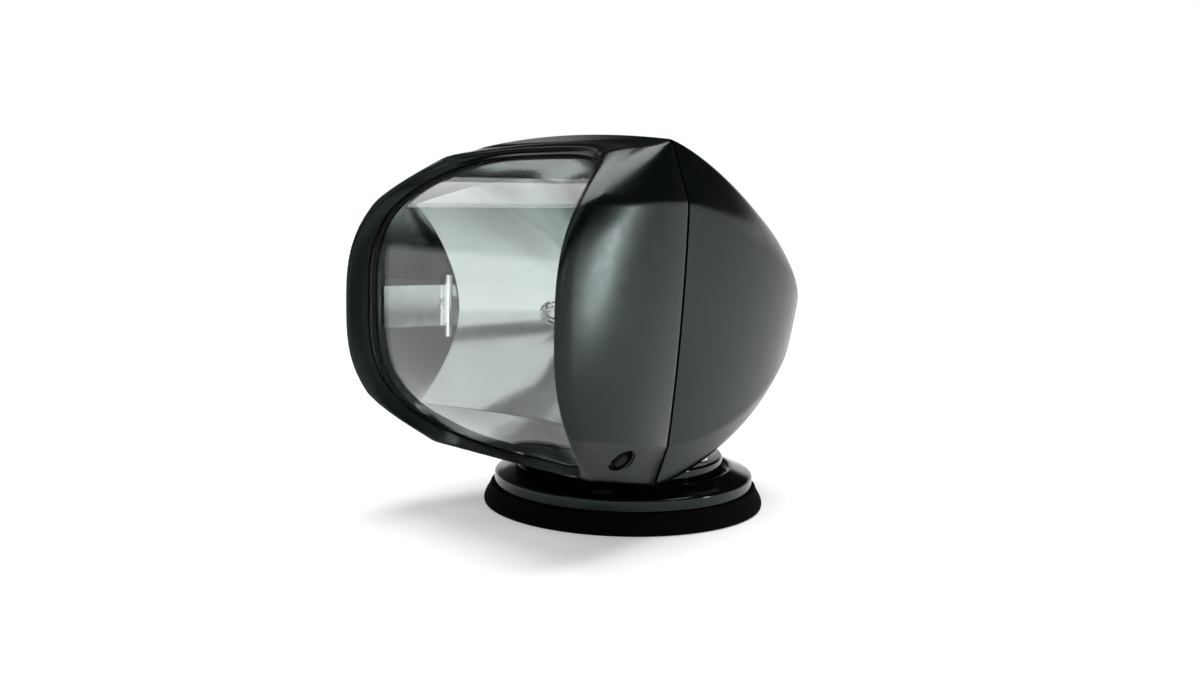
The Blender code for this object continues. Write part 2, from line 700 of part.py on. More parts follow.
def make_reflector(head):
    """Vacuum-metallised reflector: a paraboloid cut off at both sides, its top and its foot."""
    columns, rows = 17, 11
    bm = bmesh.new()
    sheets = []
    for wall in (0.0, REFLECTOR_WALL):
        grid = []
        for i in range(columns):
            x = REFLECTOR_HALF_WIDTH * (2 * i / (columns - 1) - 1)
            low, high = -reflector_bottom(x), reflector_top(x)
            heights = [low + (high - low) * j / (rows - 1) for j in range(rows)]
            grid.append([bm.verts.new((x, reflector_y(x, z) + wall, z)) for z in heights])
        sheets.append(grid)
    front, back = sheets
    for grid in sheets:
        for i in range(columns - 1):
            for j in range(rows - 1):
                bm.faces.new((grid[i][j], grid[i + 1][j], grid[i + 1][j + 1], grid[i][j + 1]))
    border = [(i, 0) for i in range(columns)] + [(columns - 1, j) for j in range(1, rows)]
    border += [(i, rows - 1) for i in range(columns - 2, -1, -1)] + [(0, j) for j in range(rows - 2, 0, -1)]
    for (i, j), (k, m) in zip(border, border[1:] + border[:1]):
        bm.faces.new((front[i][j], front[k][m], back[k][m], back[i][j]))
    piece = new_object("reflector", mesh_from(bm, "reflector"), "mirror", head)
    hole = cutter_rod("bulb_hole", BULB_HOLE_RADIUS, 0.0, 2 * BULB_HOLE_RADIUS, head,
                      (0, REFLECTOR_APEX - BULB_HOLE_RADIUS, 0), (-pi / 2, 0, 0))
    boolean(piece, hole)


def bezel_ends(x, z):
    """Where the trim starts behind the lens seal and where it ends beside the reflector's edge."""
    open_x, open_z = opening_point(x, z, REBATE_STEP - LIP_TAPER - LENS_SEAL_WIDTH - 2 * SEAT_GAP)
    start = lens_face(open_z) + LENS_STACK + 2 * SEAT_GAP
    upper_middle, lower_middle = CORNER_POINTS, 3 * CORNER_POINTS + sum(SIDE_POINT_COUNTS[:2])
    corner_x, corner_z = front_section(1.0)[upper_middle if z > 0 else lower_middle]
    across, upward = x / corner_x, z / abs(corner_z)
    larger = max(abs(across), abs(upward))
    margin = 1.5 * SEAT_GAP
    end_x = across / larger * (REFLECTOR_HALF_WIDTH + margin)
    inside_x = max(-REFLECTOR_HALF_WIDTH, min(REFLECTOR_HALF_WIDTH, end_x))
    limit = (reflector_top(inside_x) if z > 0 else reflector_bottom(inside_x)) + margin
    end_z = upward / larger * limit
    pocket = POCKET_DEPTH * (1 - (upward / larger) ** 2)
    return Vector((open_x, start, open_z)), Vector((end_x, reflector_y(end_x, end_z) + pocket, end_z))


def bezel_point(x, z, depth):
    """Point of the trim between its start (0) and its end (1), which falls away fast at first."""
    start, end = bezel_ends(x, z)
    point = start.lerp(end, depth)
    point.y = start.y + (end.y - start.y) * depth ** 0.7
    return point


def bezel_back_point(x, z, depth):
    """The same point on the trim's rear skin, set further back where the trim runs along the beam."""
    start, end = bezel_ends(x, z)
    steep = max(0.0, min(1.0, (end.y - start.y) / POCKET_DEPTH))
    setback = BEZEL_WALL + (BEZEL_STEEP_WALL - BEZEL_WALL) * steep
    return bezel_point(x, z, depth) + Vector((0.0, setback, 0.0))


def make_inner_bezel(head):
    """Glossy trim that fills the space between the lens and the reflector's edges."""
    bm = bmesh.new()
    outline = front_section(1.0)
    count = len(outline)
    front, back = [[[bm.verts.new(point(x, z, depth)) for x, z in outline] for depth in (0.0, 0.35, 0.7, 1.0)]
                   for point in (bezel_point, bezel_back_point)]
    for rows in (front, back):
        for first, second in zip(rows, rows[1:]):
            for i in range(count):
                j = (i + 1) % count
                bm.faces.new((first[i], first[j], second[j]))
                bm.faces.new((first[i], second[j], second[i]))
    for first, second in ((front[0], back[0]), (front[-1], back[-1])):
        for i in range(count):
            j = (i + 1) % count
            bm.faces.new((first[i], first[j], second[j], second[i]))
    new_object("inner_bezel", mesh_from(bm, "inner_bezel"), "trim_gloss", head)


def make_side_brackets(head):
    """Bright bracket in each pocket beside the reflector: a band along the trim with a boss and a post."""
    offset = 3 * SEAT_GAP
    line = []
    for depth in (0.02, 0.25, 0.6, 0.9):
        x, y, z = bezel_point(1.0, 0.0, depth)
        line.append((x - offset, y - offset))
    inner = [(x - SIDE_BRACKET_THICKNESS, y - SIDE_BRACKET_THICKNESS / 2) for x, y in reversed(line)]
    for side, label in ((1, "right"), (-1, "left")):
        outline = [(x * side, y) for x, y in line + inner]
        mesh = prism_mesh("band", outline, -SIDE_BRACKET_HALF_HEIGHT, SIDE_BRACKET_HALF_HEIGHT)
        bracket = new_object("side_bracket_" + label, mesh, "steel", head)
        x, y = inner[1]
        boss = cutter_rod("side_boss_" + label, SIDE_BOSS_RADIUS, -SIDE_BRACKET_THICKNESS,
                          SIDE_BRACKET_THICKNESS / 2, head, (x * side, y, 0), (0, side * pi / 2, 0))
        boolean(bracket, boss, "UNION")
        post = cutter_rod("side_post_" + label, SIDE_POST_RADIUS, -SIDE_POST_HALF_HEIGHT, SIDE_POST_HALF_HEIGHT,
                          head, ((x - SIDE_POST_RADIUS) * side, y - SIDE_POST_RADIUS, 0), steps=12)
        boolean(bracket, post, "UNION")


def make_lamp(head):
    """Halogen capsule, its base, the holder behind the reflector and the wire clip that keeps it in."""
    seat = REFLECTOR_APEX + REFLECTOR_WALL + SEAT_GAP
    bore = BULB_BASE_RADIUS + SEAT_GAP
    along_beam = (pi / 2, 0, 0)
    rim_face = seat - REFLECTOR_WALL - SEAT_GAP - reflector_y(HOLDER_RADIUS, 0)
    bore_face = seat - REFLECTOR_WALL - SEAT_GAP - reflector_y(bore, 0)
    holder = [(HOLDER_RADIUS, rim_face), (HOLDER_RADIUS, -3 * MM), (BULB_BASE_RADIUS + 3 * MM, -HOLDER_LENGTH),
              (bore, -HOLDER_LENGTH), (bore, bore_face)]
    lathe("bulb_holder", holder, "ceramic", 24, parent=head, location=(0, seat, 0), rotation=along_beam)
    lathe("bulb_base", rod(BULB_BASE_RADIUS, -HOLDER_LENGTH + 2 * MM, BULB_BASE_LENGTH - 4 * MM, 0.8 * MM), "steel", 20,
          parent=head, location=(0, seat, 0), rotation=along_beam)
    start = BULB_BASE_LENGTH - 4 * MM + SEAT_GAP
    glass = [(0, start + BULB_LENGTH)]
    glass += [(BULB_RADIUS * sin(angle), start + BULB_LENGTH - BULB_RADIUS + BULB_RADIUS * cos(angle))
              for angle in (pi / 8, pi / 4, 3 * pi / 8, pi / 2)]
    glass += [(BULB_RADIUS, start), (0, start)]
    lathe("bulb", glass, "bulb_glass", 16, parent=head, location=(0, seat, 0), rotation=along_beam)
    make_clip(head, seat + HOLDER_LENGTH)


def make_clip(head, rear_y):
    """Spring wire that crosses behind the lamp base and hooks round the holder."""
    reach = HOLDER_RADIUS - 3 * MM
    back = rear_y + CLIP_WIRE_RADIUS + SEAT_GAP
    front = rear_y - HOLDER_LENGTH + CLIP_WIRE_RADIUS
    side = HOLDER_RADIUS + CLIP_WIRE_RADIUS + SEAT_GAP
    points = [(-side, front, 0), (-side, rear_y - 6 * MM, 0), (-reach, back, 0), (-4 * MM, back, 3 * MM),
              (0, back, 4 * MM), (4 * MM, back, 3 * MM), (reach, back, 0), (side, rear_y - 6 * MM, 0), (side, front, 0)]
    curve = bpy.data.curves.new("retaining_clip", "CURVE")
    curve.dimensions = "3D"
    spline = curve.splines.new("POLY")
    spline.points.add(len(points) - 1)
    for target, point in zip(spline.points, points):
        target.co = (*point, 1.0)
    curve.bevel_depth = CLIP_WIRE_RADIUS
    curve.bevel_resolution = 2
    curve.use_fill_caps = True
    clip = bpy.data.objects.new("retaining_clip", curve)
    clip.parent = head
    curve.materials.append(material("steel"))
    bpy.context.collection.objects.link(clip)


def make_cheek_screws(head):
    """The recessed screw of each cheek."""
    start = CHEEK_SCREW_DEPTH - SEAT_GAP
    profile = [(0, start + CHEEK_SCREW_LENGTH), (CHEEK_SCREW_RADIUS, start + CHEEK_SCREW_LENGTH),
               (CHEEK_SCREW_RADIUS, start),
               (3.6 * MM, start), (3.6 * MM, start - 1.4 * MM), (3.0 * MM, start - 2.4 * MM), (0, start - 2.4 * MM)]
    for side, label in ((1, "right"), (-1, "left")):
        place, inward = cheek_screw_frame(side)
        lathe("cheek_screw_" + label, profile, "steel", 16, parent=head, location=place, rotation=facing(inward))


def make_axles(head):
    """Axles fixed in the head's bosses; they turn in the yoke's bushes."""
    arm_outer = YOKE_INSIDE + YOKE_THICKNESS
    for side, label in ((1, "right"), (-1, "left")):
        inner_end = SECTOR_X - 2 * SEAT_GAP - AXLE_NUT_HEIGHT if side > 0 else YOKE_INSIDE - 7 * MM
        outer_end = AXLE_BOSS_FACE + AXLE_IN_BOSS
        collar_low = arm_outer + TILT_BUSH_FLANGE + 2 * SEAT_GAP
        collar_high = AXLE_BOSS_FACE - SEAT_GAP
        profile = [(0, outer_end), (AXLE_RADIUS, outer_end), (AXLE_RADIUS, collar_high),
                   (AXLE_COLLAR_RADIUS, collar_high), (AXLE_COLLAR_RADIUS, collar_low), (AXLE_RADIUS, collar_low),
                   (AXLE_RADIUS, inner_end), (0, inner_end)]
        lathe("tilt_axle_" + label, profile, "steel", SMALL_STEPS, parent=head, rotation=(0, side * pi / 2, 0))
    nut = prism_mesh("axle_nut", hexagon(AXLE_NUT_FLATS), 0.0, AXLE_NUT_HEIGHT)
    place = SECTOR_X - SEAT_GAP - AXLE_NUT_HEIGHT
    piece = new_object("sector_nut", nut, "steel", head, (place, 0, 0), (0, pi / 2, 0))
    boolean(piece, cutter_rod("sector_nut_bore", AXLE_RADIUS + HOLE_CLEARANCE, place - MM, place + 2 * AXLE_NUT_HEIGHT,
                              head, (0, 0, 0), (0, pi / 2, 0)))
    ring = tube(AXLE_RADIUS + 3 * MM, AXLE_RADIUS + SEAT_GAP, YOKE_INSIDE - 5 * MM, YOKE_INSIDE - 3 * MM)
    lathe("left_axle_collar", ring, "steel", SMALL_STEPS, parent=head, rotation=(0, -pi / 2, 0))


def make_sector(head):
    """Toothed sector on the right axle, drawn hanging down in the plane across the axle."""
    down = -pi / 2
    step = 2 * pi / SECTOR_TEETH
    front_count = int((TILT_DOWN_RANGE + SECTOR_MARGIN) / step) + 1
    rear_count = int((TILT_UP_RANGE + SECTOR_MARGIN) / step) + 1
    teeth = []
    for i in range(-front_count, rear_count + 1):
        teeth += tooth(SECTOR_TEETH, down + step * i, 2)
    first, last = down - step * (front_count + 0.5), down + step * (rear_count + 0.5)
    hub = arc(SECTOR_HUB_RADIUS, last + radians(60), first - radians(60) + 2 * pi, 14)
    mesh = prism_mesh("tilt_sector_gear", teeth + hub, 0.0, SECTOR_WIDTH)
    turn = (pi / 2, 0, pi / 2)
    sector = new_object("tilt_sector_gear", mesh, "nylon", head, (SECTOR_X, 0, 0), turn)
    bore = cutter_rod("sector_bore", AXLE_RADIUS + HOLE_CLEARANCE, -MM, SECTOR_WIDTH + MM, head, (SECTOR_X, 0, 0), turn)
    boolean(sector, bore)
    middle = (first + last) / 2
    window = cutter_rod("sector_window", SECTOR_WINDOW_RADIUS, -MM, SECTOR_WIDTH + MM, head,
                        (SECTOR_X, SECTOR_WINDOW_REACH * cos(middle), SECTOR_WINDOW_REACH * sin(middle)), turn)
    boolean(sector, window)


def make_base():
    """Rubber gasket, flange with its coned top, sun gear and the hollow spindle."""
    lip = GASKET_LIP
    gasket = [(GASKET_TOP_RADIUS, GASKET_HEIGHT), (GASKET_TOP_RADIUS + 0.5 * MM, GASKET_HEIGHT - 2 * MM),
              (GASKET_RADIUS - 1.5 * MM, 1.5 * lip), (GASKET_RADIUS - 0.3 * MM, 0.8 * lip),
              (GASKET_RADIUS, 0.4 * lip), (GASKET_RADIUS - 0.3 * MM, 0), (GASKET_BORE_RADIUS, 0),
              (GASKET_BORE_RADIUS, GASKET_HEIGHT)]
    lathe("mounting_gasket", gasket, "rubber")
    ledge = CONE_TOP - 3 * MM
    inner = CONE_INNER_RADIUS - FLANGE_WALL + 1 * MM
    profile = [(CONE_INNER_RADIUS - 0.8 * MM, CONE_TOP), (CONE_INNER_RADIUS + 0.8 * MM, CONE_TOP - 0.15 * MM),
               (FLANGE_RADIUS - 0.9 * MM, FLANGE_EDGE), (FLANGE_RADIUS, FLANGE_EDGE - 0.8 * MM),
               (FLANGE_RADIUS, FLANGE_BOTTOM), (SPINDLE_RADIUS + SEAT_GAP, FLANGE_BOTTOM),
               (SPINDLE_RADIUS + SEAT_GAP, FLOOR_TOP), (inner, FLOOR_TOP), (inner, ledge),
               (CONE_INNER_RADIUS - 0.8 * MM, ledge + 0.6 * MM)]
    flange = lathe("base_flange", profile, "gloss_black")
    for i, (x, y) in enumerate(circle(DECK_HOLE_CIRCLE, DECK_HOLE_COUNT, start=pi / 4)):
        hole = cutter_rod("deck_hole_%d" % i, DECK_HOLE_RADIUS, 0, CONE_TOP, None, (x, y, 0))
        boolean(flange, hole)
    foot = SPINDLE_SHOULDER
    low = FLANGE_BOTTOM - SPINDLE_BELOW_FLOOR
    high = YOKE_FLOOR_TOP + NUT_HEIGHT + 3 * MM
    spindle = [(SPINDLE_RADIUS, high), (SPINDLE_RADIUS, foot), (SPINDLE_FOOT_RADIUS, foot),
               (SPINDLE_FOOT_RADIUS, FLOOR_TOP + SEAT_GAP), (SPINDLE_RADIUS, FLOOR_TOP + SEAT_GAP),
               (SPINDLE_RADIUS, low), (SPINDLE_BORE, low), (SPINDLE_BORE, high)]
    lathe("pan_spindle", spindle, "steel", 28)
    make_nut("spindle_locknut", FLANGE_BOTTOM - SEAT_GAP - NUT_HEIGHT, None)
    grommet = tube(SPINDLE_BORE - HOLE_CLEARANCE, 2.5 * MM, low - 1.2 * MM, low + 6 * MM)
    lathe("cable_grommet", grommet, "rubber", SMALL_STEPS)
    washer = tube(TURNTABLE_HUB_RADIUS - 0.5 * MM, SPINDLE_RADIUS + SEAT_GAP, WASHER_BOTTOM, HUB_BOTTOM - SEAT_GAP)
    lathe("thrust_washer", washer, "bronze", 28)
    make_sun_gear()


def make_nut(name, bottom, parent):
    """Hexagon nut round the spindle."""
    nut = new_object(name, prism_mesh(name, hexagon(NUT_ACROSS_FLATS), bottom, bottom + NUT_HEIGHT), "steel", parent)
    boolean(nut, cutter_rod(name + "_bore", SPINDLE_RADIUS + SEAT_GAP, bottom - MM, bottom + NUT_HEIGHT + MM, parent))
    return nut


def make_sun_gear():
    """Fixed gear on the base floor, with the screws that hold it."""
    mesh = prism_mesh("pan_sun_gear", gear_outline(SUN_TEETH, PAN_PINION_BEARING, 2), GEAR_BOTTOM, GEAR_BOTTOM + GEAR_WIDTH)
    gear = new_object("pan_sun_gear", mesh, "nylon")
    boolean(gear, cutter_rod("sun_bore", SUN_BORE_RADIUS, GEAR_BOTTOM - MM, GEAR_BOTTOM + GEAR_WIDTH + MM, steps=32))


def make_turntable(pan):
    """Round turntable with its hub and skirt, the bush it turns on and the nut that keeps it down."""
    hub_bore = SPINDLE_RADIUS + RUNNING_GAP / 2 + PAN_BUSH_WALL + SEAT_GAP
    skirt_outer = TURNTABLE_RADIUS - 0.6 * MM
    skirt_bottom = TURNTABLE_BOTTOM - SKIRT_DROP
    edge = TURNTABLE_EDGE_BEVEL
    profile = [(TURNTABLE_RADIUS - edge, TURNTABLE_TOP), (TURNTABLE_RADIUS, TURNTABLE_TOP - edge),
               (TURNTABLE_RADIUS, TURNTABLE_BOTTOM), (skirt_outer, TURNTABLE_BOTTOM), (skirt_outer, skirt_bottom),
               (skirt_outer - SKIRT_THICKNESS, skirt_bottom), (skirt_outer - SKIRT_THICKNESS, TURNTABLE_BOTTOM),
               (TURNTABLE_HUB_RADIUS, TURNTABLE_BOTTOM), (TURNTABLE_HUB_RADIUS, HUB_BOTTOM),
               (hub_bore, HUB_BOTTOM), (hub_bore, TURNTABLE_TOP)]
    table = lathe("turntable", profile, "gloss_black", parent=pan)
    x, y = pan_pinion_place()
    boolean(table, cutter_rod("pinion_passage", PINION_SHAFT_RADIUS + 1.5 * MM, 0, YOKE_FLOOR_TOP, pan, (x, y, 0)))
    bush = tube(hub_bore - SEAT_GAP, SPINDLE_RADIUS + RUNNING_GAP / 2, HUB_BOTTOM, TURNTABLE_TOP)
    lathe("pan_bush", bush, "bronze", 28, parent=pan)
    make_nut("turntable_nut", YOKE_FLOOR_TOP + SEAT_GAP, None)


def pan_pinion_place():
    """Centre of the pan pinion on the turntable."""
    return PAN_CENTRES * cos(PAN_PINION_BEARING), PAN_CENTRES * sin(PAN_PINION_BEARING)


def arm_outline():
    """Side outline of a yoke arm: straight sides, a round head on the tilt axis."""
    half = YOKE_ARM_WIDTH / 2
    height = TILT_AXIS_HEIGHT
    head = arc(YOKE_HEAD_RADIUS, 0.0, pi, 13, (0.0, height))
    return [(half, YOKE_FLOOR_BOTTOM)] + head + [(-half, YOKE_FLOOR_BOTTOM)]


def make_yoke(pan):
    """U-shaped steel yoke: a round-ended floor and two arms in one pressing."""
    outer = YOKE_INSIDE + YOKE_THICKNESS
    half = YOKE_ARM_WIDTH / 2
    reach = atan2(half, outer)
    floor_line = [(outer, -half), (outer, half)]
    floor_line += arc(YOKE_FOOT_RADIUS, reach + radians(8), pi - reach - radians(8), 9)
    floor_line += [(-outer, half), (-outer, -half)]
    floor_line += arc(YOKE_FOOT_RADIUS, pi + reach + radians(8), 2 * pi - reach - radians(8), 9)
    mesh = prism_mesh("yoke", floor_line, YOKE_FLOOR_BOTTOM, YOKE_FLOOR_TOP)
    yoke = new_object("yoke", mesh, "steel", pan)
    for side, label in ((1, "right"), (-1, "left")):
        low = YOKE_INSIDE if side > 0 else -outer
        arm_mesh = prism_mesh("arm", arm_outline(), 0.0, YOKE_THICKNESS)
        arm = new_object("yoke_arm_" + label, arm_mesh, None, pan, (low, 0, 0), (pi / 2, 0, pi / 2), smooth=False)
        boolean(yoke, arm, "UNION")
    bush_outer = AXLE_RADIUS + TILT_BUSH_WALL
    across = cutter_rod("yoke_bore", bush_outer + SEAT_GAP, -outer - MM, outer + MM, pan, (0, 0, TILT_AXIS_HEIGHT),
                        (0, pi / 2, 0))
    boolean(yoke, across)
    above = YOKE_FLOOR_TOP + YOKE_THICKNESS
    boolean(yoke, cutter_rod("yoke_centre", SPINDLE_RADIUS + RUNNING_GAP, 0, above, pan))
    x, y = pan_pinion_place()
    boolean(yoke, cutter_rod("yoke_pinion_hole", PINION_SHAFT_RADIUS + 1.5 * MM, 0, above, pan, (x, y, 0)))
    make_tilt_bushes(pan, outer)
    make_yoke_screws(pan)


def make_tilt_bushes(pan, outer):
    """Flanged bushes in the yoke's arms."""
    bush_outer = AXLE_RADIUS + TILT_BUSH_WALL
    bore = AXLE_RADIUS + RUNNING_GAP / 2
    for side, label in ((1, "right"), (-1, "left")):
        flange_top = outer + SEAT_GAP + TILT_BUSH_FLANGE
        profile = [(bush_outer + 2 * MM, flange_top), (bush_outer + 2 * MM, outer + SEAT_GAP),
                   (bush_outer, outer + SEAT_GAP), (bush_outer, YOKE_INSIDE), (bore, YOKE_INSIDE), (bore, flange_top)]
        lathe("tilt_bush_" + label, profile, "bronze", SMALL_STEPS, parent=pan, location=(0, 0, TILT_AXIS_HEIGHT),
              rotation=(0, side * pi / 2, 0))


def make_yoke_screws(pan):
    """Four pan-head screws that hold the yoke to the turntable."""
    seat = YOKE_FLOOR_TOP + SEAT_GAP
    profile = [(0, seat + 2.2 * MM), (1.6 * MM, seat + 2.2 * MM), (3.2 * MM, seat + 1.4 * MM), (3.4 * MM, seat),
               (0, seat)]
    angles = (YOKE_SCREW_ANGLE, pi - YOKE_SCREW_ANGLE, pi + YOKE_SCREW_ANGLE, -YOKE_SCREW_ANGLE)
    for number, angle in enumerate(angles, start=1):
        place = (YOKE_SCREW_CIRCLE * cos(angle), YOKE_SCREW_CIRCLE * sin(angle), 0)
        lathe("yoke_screw_%d" % number, profile, "steel", 12, parent=pan, location=place)


def motor_profile(length):
    """Profile of a geared motor: gearbox below, can above, end cap on top."""
    step = 0.8 * MM
    return [(0, length + MOTOR_CAP_LENGTH), (MOTOR_CAP_RADIUS, length + MOTOR_CAP_LENGTH), (MOTOR_CAP_RADIUS, length),
            (MOTOR_RADIUS - 2 * step, length), (MOTOR_RADIUS - step, length - step),
            (MOTOR_RADIUS - step, GEARBOX_LENGTH), (MOTOR_RADIUS, GEARBOX_LENGTH), (MOTOR_RADIUS, 0), (0, 0)]


def pinion_mesh(name):
    """Toothed part of a pinion, from 0 up."""
    return prism_mesh(name, gear_outline(PINION_TEETH), 0.0, GEAR_WIDTH)


def make_pan_drive(pan):
    """Pan motor on the yoke's floor; its pinion walks round the sun gear under the turntable."""
    x, y = pan_pinion_place()
    floor = YOKE_FLOOR_TOP + SEAT_GAP
    lathe("pan_motor", motor_profile(PAN_MOTOR_LENGTH), "steel", 22, parent=pan, location=(x, y, floor))
    axis = empty("pan_pinion_axis", (x, y, GEAR_BOTTOM), (0, 0, PAN_PINION_BEARING + pi + pi / PINION_TEETH), pan)
    pinion = new_object("pan_pinion", pinion_mesh("pan_pinion"), "nylon", axis)
    shaft = cutter_rod("pan_pinion_shaft", PINION_SHAFT_RADIUS, GEAR_WIDTH / 2, floor - SEAT_GAP - GEAR_BOTTOM, axis,
                       steps=16)
    boolean(pinion, shaft, "UNION")


def make_tilt_drive(pan):
    """Tilt motor under the axle, its bracket and the pinion in mesh with the sector."""
    height = TILT_AXIS_HEIGHT - TILT_CENTRES
    plate_high = SECTOR_X - 2 * SEAT_GAP - PINION_SHAFT_RADIUS
    plate_low = plate_high - BRACKET_THICKNESS
    motor_face = plate_low - SEAT_GAP
    lathe("tilt_motor", motor_profile(TILT_MOTOR_LENGTH), "steel", 22, parent=pan, location=(motor_face, 0, height),
          rotation=(0, -pi / 2, 0))
    half = MOTOR_RADIUS + 1.5 * MM
    foot_low = YOKE_FLOOR_TOP + SEAT_GAP
    plate = box_mesh("tilt_motor_bracket", (plate_low, -half, foot_low), (plate_high, half, height + half))
    bracket = new_object("tilt_motor_bracket", plate, "steel", pan)
    foot_mesh = box_mesh("bracket_foot", (plate_low - 9 * MM, -half, foot_low),
                         (plate_low + MM, half, foot_low + BRACKET_THICKNESS))
    foot = new_object("bracket_foot", foot_mesh, None, pan, smooth=False)
    boolean(bracket, foot, "UNION")
    turn = (0, pi / 2, 0)
    boolean(bracket, cutter_rod("bracket_hole", PINION_SHAFT_RADIUS + 2 * MM, 0, YOKE_INSIDE, pan, (0, 0, height), turn))
    axis = empty("tilt_pinion_axis", (SECTOR_X, 0, height), (pi / 2, 0, pi / 2), pan)
    half_pitch = pi / PINION_TEETH
    pinion = new_object("tilt_pinion", pinion_mesh("tilt_pinion"), "nylon", axis,
                        (0, 0, -(GEAR_WIDTH - SECTOR_WIDTH) / 2), (0, 0, pi / 2 + half_pitch))
    shaft = cutter_rod("tilt_pinion_shaft", PINION_SHAFT_RADIUS, motor_face + SEAT_GAP - SECTOR_X, GEAR_WIDTH / 2, axis,
                       steps=16)
    boolean(pinion, shaft, "UNION")


def make_control_board(pan):
    """Radio and motor control board on four standoffs at the front of the yoke's floor."""
    width, depth, thickness = BOARD_SIZE
    bottom = YOKE_FLOOR_TOP + 2 * SEAT_GAP + STANDOFF_HEIGHT
    low = (-width / 2, -BOARD_OFFSET - depth / 2, bottom)
    high = (width / 2, -BOARD_OFFSET + depth / 2, bottom + thickness)
    board = new_object("control_board", box_mesh("control_board", low, high), "circuit_green", pan)
    chip_mesh = box_mesh("board_chip", (-7 * MM, -BOARD_OFFSET - 4 * MM, bottom + thickness - 0.5 * MM),
                         (7 * MM, -BOARD_OFFSET + 4 * MM, bottom + thickness + 2.4 * MM))
    boolean(board, new_object("board_chip", chip_mesh, None, pan, smooth=False), "UNION")
    number = 0
    for sx in (-1, 1):
        for sy in (-1, 1):
            number += 1
            place = (sx * (width / 2 - 3 * MM), -BOARD_OFFSET + sy * (depth / 2 - 3 * MM), 0)
            lathe("board_standoff_%d" % number, rod(2.4 * MM, YOKE_FLOOR_TOP + SEAT_GAP, bottom - SEAT_GAP), "nylon",
                  10, parent=pan, location=place)


def main():
    clear_scene()
    make_base()
    pan = empty("pan_axis", (0, 0, 0))
    make_turntable(pan)
    make_yoke(pan)
    make_pan_drive(pan)
    make_tilt_drive(pan)
    make_control_board(pan)
    head = empty("tilt_axis", (0, 0, TILT_AXIS_HEIGHT), parent=pan)
    make_front_housing(head)
    make_rear_housing(head)
    make_housing_seal(head)
    make_lens(head)
    make_reflector(head)
    make_inner_bezel(head)
    make_side_brackets(head)
    make_lamp(head)
    make_cheek_screws(head)
    make_axles(head)
    make_sector(head)


main()
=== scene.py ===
"""Marine searchlight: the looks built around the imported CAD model."""
from math import acos, atan2, cos, pi, radians, sin, tan

import bmesh
import bpy
from mathutils import Matrix, Vector


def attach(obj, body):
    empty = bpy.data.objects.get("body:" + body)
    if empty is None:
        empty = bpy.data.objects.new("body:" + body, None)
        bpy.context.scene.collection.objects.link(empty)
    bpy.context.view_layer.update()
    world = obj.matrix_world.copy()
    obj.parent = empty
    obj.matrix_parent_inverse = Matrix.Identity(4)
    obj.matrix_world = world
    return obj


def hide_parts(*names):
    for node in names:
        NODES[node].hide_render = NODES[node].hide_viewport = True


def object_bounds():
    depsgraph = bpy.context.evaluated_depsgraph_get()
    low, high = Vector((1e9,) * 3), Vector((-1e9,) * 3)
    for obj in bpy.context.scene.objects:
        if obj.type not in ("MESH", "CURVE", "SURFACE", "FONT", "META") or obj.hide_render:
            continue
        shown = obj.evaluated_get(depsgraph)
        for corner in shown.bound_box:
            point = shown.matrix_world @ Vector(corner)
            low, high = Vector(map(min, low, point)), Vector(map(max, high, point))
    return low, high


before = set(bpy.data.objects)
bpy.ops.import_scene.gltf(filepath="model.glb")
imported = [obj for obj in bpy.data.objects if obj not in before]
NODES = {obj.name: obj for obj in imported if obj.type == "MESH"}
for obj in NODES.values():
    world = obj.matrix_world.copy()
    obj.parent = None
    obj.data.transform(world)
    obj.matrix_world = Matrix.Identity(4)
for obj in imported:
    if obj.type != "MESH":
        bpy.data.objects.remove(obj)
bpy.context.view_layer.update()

MM = 0.001

# Camera, fitted to the photograph
CAMERA_PLACE = (0.38500220, -0.40666117, 0.14207440)
CAMERA_RIGHT = (0.70818918, 0.70571091, 0.020981)
CAMERA_UP = (-0.0901844, 0.06094745, 0.99405844)
CAMERA_FOCAL_PIXELS = 1125.297
IMAGE_WIDTH = 1200
SENSOR_WIDTH = 36.0

# Light: the overhead lamp, the world's white horizon under a dim ceiling, and the floor's own white
OVERHEAD_STRENGTH = 2.7
OVERHEAD_ANGLE = radians(46)
OVERHEAD_DIRECTION = (-0.03, 0.17, 0.98)
CEILING = (0.012, 0.013, 0.013)
HORIZON_TOP = 0.19
CEILING_FOOT = 0.27
FLOOR_REACH = 6.0
FLOOR_DROP = 0.0002
FLOOR_GLOW = 0.32
SOFTBOX_AIM_Y = -0.06

# Head shell sizes, as in the CAD model (millimetres, round the tilt axis)
AXIS_HEIGHT = 97.0 * MM
WALL = 3.0 * MM
FRONT_EDGE_Y = -41.9 * MM
REAR_EDGE_Y = -40.7 * MM
SEAM_CORNERS = ((63.2, 78.8), (74.2, 51.0), (65.8, -54.2), (58.5, -73.5))
RIM_CORNERS = ((57.6, 75.6), (73.0, 52.0), (73.0, -43.3), (53.8, -68.0))
SEAM_FILLET = 3.5 * MM
RIM_FILLET = 4.0 * MM
TOP_CROWN = 3.6 * MM
BOTTOM_CROWN = 1.8 * MM
SIDE_CROWN = 1.5 * MM
CHEEK_BULGE = 3.0 * MM
VISOR_REACH = 115.3 * MM
BROW_REACH = 68.0 * MM
BROW_HEIGHT = 70.0 * MM
VISOR_UPPER_POWER = 3.2
VISOR_LOWER_POWER = 2.8
RIM_BEVEL_DEPTH = 6.0 * MM
BROW_DEPTH = 3.0 * MM
OPENING_HALF_WIDTH = 71.3 * MM
OPENING_TOP = 75.0 * MM
OPENING_BOTTOM = 69.3 * MM
OPENING_POWER = 3.6
LIP_SIDE_DEPTH = 9.5 * MM
LIP_TOP_DEPTH = 2.5 * MM
LIP_TAPER = 2.5 * MM
REBATE_STEP = 2.4 * MM
REAR_LENGTH = 139.0 * MM
REAR_FILLET = 30.0 * MM
REAR_WIDTH_CURVE = (2.08, 0.33)
